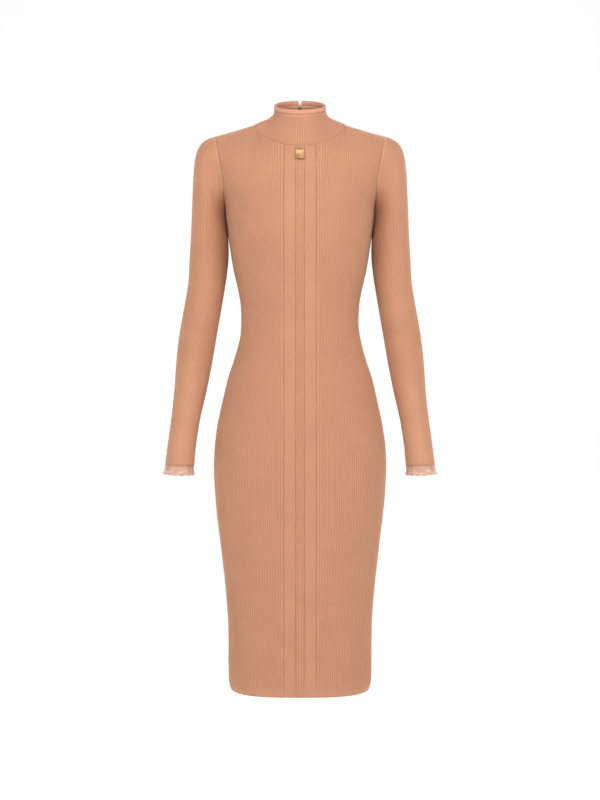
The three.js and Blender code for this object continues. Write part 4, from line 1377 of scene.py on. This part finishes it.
def soften(work, offset, segments=2):
    """Rounds every sharp edge."""
    sharp = [edge for edge in work.edges if edge.is_manifold and edge.calc_face_angle() > 0.5]
    bmesh.ops.bevel(
        work, geom=sharp, offset=offset, segments=segments, profile=0.5, affect="EDGES", material=-1,
        clamp_overlap=True,
    )


class DRESS_OT_zip_tapes(bpy.types.Operator):
    """Lay the zip's tapes behind the back's edges"""

    bl_idname = "dress.zip_tapes"
    bl_label = "Zip tapes"

    def execute(self, context):
        box_low, box_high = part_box("zip_tape_left")
        wide = box_high.x / MM
        lattice = []
        for i in range(TAPE_COLUMNS + 1):
            x = lerp(wide, TAPE_EDGE, i / TAPE_COLUMNS)
            column = []
            run = 0
            before = None
            for place, out in zip_path():
                side_drop = TAPE_BEND * max(0, x - ZIP_EDGE) ** 1.5
                at = Vector((x, place.y - side_drop, place.z)) - out * TAPE_DROP
                run += (at - before).length if before else 0
                before = at
                if box_low.z / MM <= at.z <= box_high.z / MM:
                    column.append(Knot(at, 0, i * 0.75, run / TAPE_COURSE))
            lattice.append(column)
        rows = min(len(column) for column in lattice)
        lattice = [column[:rows] for column in lattice]
        for name, work in knit_pair("zip_tape", lattice):
            material = finish_of("zip tape")
            piece = finish_mesh(work, name + "_weave", material, replaces=[name])
            thicken(piece, TAPE_THICK)
        return {"FINISHED"}


class DRESS_OT_zip_teeth(bpy.types.Operator):
    """Set the closed rows of teeth"""

    bl_idname = "dress.zip_teeth"
    bl_label = "Zip teeth"

    def execute(self, context):
        pitch = context.scene.dress_trim.tooth_pitch / MM
        path = zip_path()
        end = path_length(path) - SLIDER_BELOW_TOP - 2
        size = (TOOTH_WIDTH, pitch * TOOTH_SHARE, TOOTH_THICK)
        middle = -TEETH_DROP - TEETH_THICK / 2
        work = bmesh.new()
        for side in (-1, 1):
            start = TEETH_START + (pitch / 2 if side > 0 else 0)
            for frame in spaced(path, pitch, start, end):
                block(work, frame, size, (side * TOOTH_X, 0, middle))
        soften(work, 0.22, 1)
        block(work, spaced(path, 10)[0], BOTTOM_STOP, (0, 1.2, middle))
        finish_metal(work, "zip_teeth", "zip_chain", smooth_faces=False)
        return {"FINISHED"}


def node_frame(node, origin):
    """A frame on a flat CAD node: Z is the way out of its broadest face, X lies level."""
    mesh = FRAME["nodes"][node].data
    areas = {}
    for face in mesh.polygons:
        normal = face.normal
        if abs(normal.x) < 0.01:
            key = (round(normal.y, 2), round(normal.z, 2))
            areas.setdefault(key, [0, Vector()])
            areas[key][0] += face.area
            areas[key][1] += normal * face.area
    side = 1 if origin.y > 0 else -1
    faces = [entry for key, entry in areas.items() if key[0] * side > 0.2]
    out = max(faces, key=lambda entry: entry[0])[1].normalized()
    across = Vector((-side, 0, 0))
    return frame_of(across, out.cross(across).normalized(), out, origin / MM)


def pivot(name):
    """A joint's place, in metres."""
    joint = next(joint for joint in FRAME["joints"] if joint["name"] == name)
    return Vector(joint["pos_m"])


def tube(work, frame, path, radius, sides=12):
    """A round wire along points of a frame, pulled out of one circle."""
    points = [Vector(point) for point in path]
    ring = None
    for i, at in enumerate(points):
        ahead = (points[min(i + 1, len(points) - 1)] - points[max(i - 1, 0)]).normalized()
        turn = ahead.to_track_quat("Z", "X").to_matrix().to_4x4()
        place = frame @ Matrix.Translation(at) @ turn
        if ring is None:
            ring = bmesh.ops.create_circle(
                work, cap_ends=True, segments=sides, radius=radius, matrix=place,
            )["verts"]
            edges = list({edge for vert in ring for edge in vert.link_edges})
            shape = [place.inverted() @ vert.co for vert in ring]
            continue
        pulled = bmesh.ops.extrude_edge_only(work, edges=edges)["geom"]
        fresh = [item for item in pulled if isinstance(item, bmesh.types.BMVert)]
        pairs = {}
        for vert in fresh:
            pairs[vert] = min(range(sides), key=lambda k: (ring[k].co - vert.co).length)
        fresh.sort(key=lambda vert: pairs[vert])
        for k, vert in enumerate(fresh):
            vert.co = place @ shape[k]
        ring = fresh
        pulled_edges = [item for item in pulled if isinstance(item, bmesh.types.BMEdge)]
        edges = [edge for edge in pulled_edges if all(vert in fresh for vert in edge.verts)]
    bmesh.ops.contextual_create(work, geom=edges)
    bmesh.ops.recalc_face_normals(work, faces=work.faces)


def mirrored(half):
    """Half a path with its mirror image before it."""
    return [(-a, b) for a, b in half] + half[::-1]


def arch(work, frame, half, radius):
    """A wire arch over a frame's Y axis, from half its path."""
    tube(work, frame, [(0, y, z) for y, z in mirrored(half)], radius)


def rounded_outline(half, low, high, radius):
    """Points of a rectangle with round corners, from the middle of its right side."""
    corners = [
        (half - radius, high - radius, 0), (-half + radius, high - radius, 90),
        (-half + radius, low + radius, 180), (half - radius, low + radius, 270),
    ]
    points = []
    for x, y, start in corners:
        for i in range(CORNER_POINTS):
            turn = math.radians(start + 90 * i / (CORNER_POINTS - 1))
            points.append((x + radius * math.cos(turn), y + radius * math.sin(turn)))
    return points


def holed_plate(work, frame, outline, hole, thick):
    """A plate with a hole: two rings bridged, thickened and rounded."""
    loops = []
    for points in (outline, hole):
        ring = bmesh.ops.create_circle(work, cap_ends=False, segments=len(points), radius=1)["verts"]
        ring.sort(key=lambda vert: math.atan2(vert.co.y, vert.co.x) % (2 * math.pi - 1e-6))
        for vert, (x, y) in zip(ring, points):
            vert.co = frame @ Vector((x, y, -thick / 2))
        loops += list({link for vert in ring for link in vert.link_edges})
    face_ring = bmesh.ops.bridge_loops(work, edges=loops)["faces"]
    lifted = bmesh.ops.extrude_face_region(work, geom=face_ring, use_keep_orig=True)["geom"]
    moved = [item for item in lifted if isinstance(item, bmesh.types.BMVert)]
    bmesh.ops.translate(work, verts=moved, vec=frame.to_3x3() @ Vector((0, 0, thick)))
    bmesh.ops.recalc_face_normals(work, faces=work.faces)
    soften(work, 0.22, 3)


class DRESS_OT_zip_slider(bpy.types.Operator):
    """Make the zip's slider with its bail"""

    bl_idname = "dress.zip_slider"
    bl_label = "Zip slider"

    def execute(self, context):
        work = bmesh.new()
        frame = node_frame("zip_slider", pivot("pull_hinge"))
        frame = frame @ Matrix.Translation((0, 0, -SLIDER_FOOT - ARCH_CLEAR / 2))
        inverse = frame.inverted()
        under = -TEETH_DROP - TEETH_THICK - SEAM_GAP
        size = (SLIDER["width"], SLIDER["length"], SLIDER["plate"])
        for high in (SLIDER["top"], under):
            for vert in block(work, frame, size, (0, 0, high - SLIDER["plate"] / 2)):
                at = inverse @ vert.co
                if at.y < 0:
                    vert.co = frame @ Vector((at.x * SLIDER["taper"], at.y, at.z))
        post = (SLIDER["post"], SLIDER["post"], SLIDER["top"] - under)
        block(work, frame, post, (0, 4.2, under / 2))
        soften(work, 0.45, 3)
        arch(work, frame, BAIL, BAIL_RADIUS)
        finish_metal(work, "zip_slider_body", "zip_slider")
        return {"FINISHED"}


class DRESS_OT_zip_pull(bpy.types.Operator):
    """Hang the zip's pull tab"""

    bl_idname = "dress.zip_pull"
    bl_label = "Zip pull"

    def execute(self, context):
        work = bmesh.new()
        frame = node_frame("zip_pull", pivot("pull_hinge"))
        holed_plate(work, frame, rounded_outline(*PULL), rounded_outline(*PULL_HOLE), PULL_THICK)
        finish_metal(work, "zip_pull_tab", "zip_pull", body_name="pull")
        return {"FINISHED"}


class DRESS_OT_charm(bpy.types.Operator):
    """Hang the charm at the neck in its small arch"""

    bl_idname = "dress.charm"
    bl_label = "Charm"

    def execute(self, context):
        work = bmesh.new()
        frame = node_frame("charm", pivot("charm_hinge"))
        foot = -SHACKLE["radius"] - SHACKLE["height"]
        size = (CHARM["width"], CHARM["height"], CHARM["thick"])
        block(work, frame, size, (0, foot - CHARM["height"] / 2, 0))
        through = frame.to_3x3() @ Vector((0, 0, 1))
        upright = []
        for edge in work.edges:
            along_edge = (edge.verts[0].co - edge.verts[1].co).normalized()
            if abs(along_edge.dot(through)) > 0.99:
                upright.append(edge)
        bmesh.ops.bevel(
            work, geom=upright, offset=CHARM["corner"], segments=5, profile=0.5, affect="EDGES",
            material=-1,
        )
        soften(work, 0.3, 3)
        broad = [face for face in work.faces if face.calc_area() > 150]
        bmesh.ops.inset_region(work, faces=broad, thickness=CHARM["border"], depth=-CHARM["sink"])
        half = [(SHACKLE["half"], foot - 0.5), (SHACKLE["half"], foot + 2.4)]
        wide, tall = SHACKLE["shoulder"]
        for turn in (0.4, 0.8, 1.2):
            x = SHACKLE["flat"] + wide * math.cos(turn)
            half.append((x, SHACKLE["shoulder_y"] + tall * math.sin(turn)))
        half.append((SHACKLE["flat"], -SHACKLE["radius"] / 2))
        tube(work, frame, [(x, y, 0) for x, y in mirrored(half)], SHACKLE["radius"])
        finish_metal(work, "charm_plate", "charm", body_name="charm")
        work = bmesh.new()
        frame = node_frame("charm_loop", pivot("charm_hinge"))
        frame = frame @ Matrix.Translation((0, 0, -LOOP_FOOT - ARCH_CLEAR / 2))
        arch(work, frame, LOOP, LOOP_RADIUS)
        finish_metal(work, "charm_loop_wire", "charm_loop")
        return {"FINISHED"}


class DRESS_OT_neck_seam(bpy.types.Operator):
    """Raise the fine seam where the collar is linked on"""

    bl_idname = "dress.neck_seam"
    bl_label = "Neck seam"

    def execute(self, context):
        work = bmesh.new()
        path = []
        for i in range(NECK_SAMPLES + 1):
            base = neck_base(i / NECK_SAMPLES)
            level = Vector((base.x, base.y * 1.2, 0)).normalized()
            path.append(base + level * 0.35 + Vector((0, 0, 0.35)))
        tube(work, Matrix.Identity(4), path, NECK_SEAM_RADIUS, sides=8)
        finish_mesh(work, "neck_seam", finish_of("seam thread"))
        return {"FINISHED"}


class DRESS_OT_stitching(bpy.types.Operator):
    """Sew the visible stitches of the binding and the zip"""

    bl_idname = "dress.stitching"
    bl_label = "Stitching"

    def execute(self, context):
        pitch = context.scene.dress_trim.stitch_pitch / MM
        work = bmesh.new()
        proud = (BINDING_THICK - WALL) / 2 + STITCH_PROUD
        ring = []
        for i in range(NECK_SAMPLES + 1):
            base = neck_base(i / NECK_SAMPLES)
            place = collar_top(base, STITCH_ABOVE_FOOT - BINDING_HEIGHT, proud)
            out = collar_top(base, 0, 1) - collar_top(base, 0, 0)
            ring.append((place, out.normalized()))
        lines = [ring]
        for side in (-1, 1):
            edge = []
            x = side * (ZIP_EDGE + STITCH_FROM_ZIP)
            for place, out in zip_path(x)[: ZIP_SAMPLES + 1]:
                at = on_body("back", abs(place.x), place.z)
                edge.append((Vector((place.x, at.y + SEAM_GAP / 2 + 0.55, place.z)), out))
            lines.append(edge)
        for line in lines:
            for frame in spaced(line, pitch, start=1.5):
                block(work, frame, (THREAD_WIDTH, pitch * STITCH_SHARE, THREAD_THICK))
        soften(work, 0.18, 1)
        finish_mesh(work, "stitching", finish_of("sewing thread"))
        return {"FINISHED"}


# The studio

LAMP_SIZE = 1.4
CAMERA_DISTANCE = 4.0
SENSOR = 36


def area_light(name, place, target, power):
    """A soft square lamp that faces a point."""
    lamp = bpy.data.lights.new(name, "AREA")
    lamp.shape = "SQUARE"
    lamp.size = LAMP_SIZE
    lamp.energy = power
    lamp.spread = math.radians(80)
    made = bpy.data.objects.new(name, lamp)
    made.location = place
    made.rotation_euler = (Vector(target) - Vector(place)).to_track_quat("-Z", "Y").to_euler()
    made.visible_camera = False
    bpy.context.scene.collection.objects.link(made)
    return made


class DRESS_OT_stage(bpy.types.Operator):
    """Set the floor, the lamps and the camera"""

    bl_idname = "dress.stage"
    bl_label = "Studio"

    def execute(self, context):
        scene = context.scene
        look = scene.dress_look
        low, _ = CAD_BOX
        floor_z = low.z - look.floor_drop
        work = bmesh.new()
        bmesh.ops.create_circle(
            work, cap_ends=True, segments=96, radius=60, matrix=Matrix.Translation((0, 0, floor_z)),
        )
        mesh = bpy.data.meshes.new("studio_floor")
        work.to_mesh(mesh)
        work.free()
        floor = bpy.data.objects.new("studio_floor", mesh)
        scene.collection.objects.link(floor)
        paint, nodes = new_material("studio floor")
        nodes.shade(
            Base_Color=(*look.floor_colour, 1),
            Roughness=0.9,
            Specular_IOR_Level=0,
            Emission_Color=(1, 1, 1, 1),
            Emission_Strength=look.floor_glow,
        )
        mesh.materials.append(paint)

        world = bpy.data.worlds.new("Studio")
        world.use_nodes = True
        scene.world = world
        sky = Nodes(world.node_tree)
        direction = sky.add("ShaderNodeTexCoord").outputs["Generated"]
        forward = sky.add("ShaderNodeSeparateXYZ", (direction,)).outputs["Y"]
        lobe = sky.math("POWER", sky.math("ABSOLUTE", forward), 4)
        strength = sky.ramp(lobe, 0, 1, look.side_light, look.front_light)
        background = {"Color": (1, 1, 1, 1), "Strength": strength}
        sky.set(world.node_tree.nodes["Background"], background)
        for side, name in ((-1, "front"), (1, "back")):
            for in_gold, height, share in ((False, 1.9, 0.68), (True, 1.92, 0.32)):
                place = (0, side * 2.2, height)
                power = share * look.key_power
                lamp = area_light(name + " overhead lamp", place, (0, 0, -0.15), power)
                lamp.visible_glossy = in_gold
            for hand, share in ((-1, 0.55), (1, 0.7)):
                place = (hand * 2.3, side * 2.1, 0.9)
                power = share * look.key_power
                area_light(name + " side lamp", place, (0, 0, -0.1), power)

        lens = bpy.data.cameras.new("Camera")
        lens.sensor_width = SENSOR
        lens.lens = SENSOR * CAMERA_DISTANCE / (IMAGE_ROWS * PIXEL * MM)
        camera = bpy.data.objects.new("Camera", lens)
        camera_z = (NECK_ROW - (IMAGE_ROWS - 1) / 2) * PIXEL * MM
        camera.location = (0, -CAMERA_DISTANCE, camera_z)
        camera.rotation_euler = (math.radians(90), 0, 0)
        scene.collection.objects.link(camera)
        scene.camera = camera
        scene.view_settings.view_transform = "Standard"
        return {"FINISHED"}


PIECES = (
    DRESS_OT_front,
    DRESS_OT_back,
    DRESS_OT_sleeves,
    DRESS_OT_cuff_edges,
    DRESS_OT_collar,
    DRESS_OT_collar_binding,
    DRESS_OT_zip_tapes,
    DRESS_OT_zip_teeth,
    DRESS_OT_zip_slider,
    DRESS_OT_zip_pull,
    DRESS_OT_charm,
    DRESS_OT_neck_seam,
    DRESS_OT_stitching,
    DRESS_OT_stage,
)
SETTINGS = {"dress_knit": DRESS_PG_knit, "dress_trim": DRESS_PG_trim, "dress_look": DRESS_PG_look}


class DRESS_PT_panel(bpy.types.Panel):
    """Settings and pieces of the dress"""

    bl_idname = "DRESS_PT_panel"
    bl_label = "Dress"
    bl_space_type = "VIEW_3D"
    bl_region_type = "UI"
    bl_category = "Dress"

    def draw(self, context):
        for name, group in SETTINGS.items():
            box = self.layout.box()
            box.label(text=group.__doc__)
            for setting in group.__annotations__:
                box.prop(getattr(context.scene, name), setting)
        for piece in PIECES:
            self.layout.operator(piece.bl_idname)


def register():
    """Registers the settings, the pieces and the panel."""
    for group in (*SETTINGS.values(), *PIECES, DRESS_PT_panel):
        bpy.utils.register_class(group)
    for name, group in SETTINGS.items():
        setattr(bpy.types.Scene, name, PointerProperty(type=group))


def unregister():
    """Takes them away again."""
    for name in SETTINGS:
        delattr(bpy.types.Scene, name)
    for group in reversed((*SETTINGS.values(), *PIECES, DRESS_PT_panel)):
        bpy.utils.unregister_class(group)


def main():
    """Builds every piece in order."""
    register()
    for piece in PIECES:
        group, name = piece.bl_idname.split(".")
        getattr(getattr(bpy.ops, group), name)()
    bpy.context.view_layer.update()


if __name__ == "__main__":
    main()
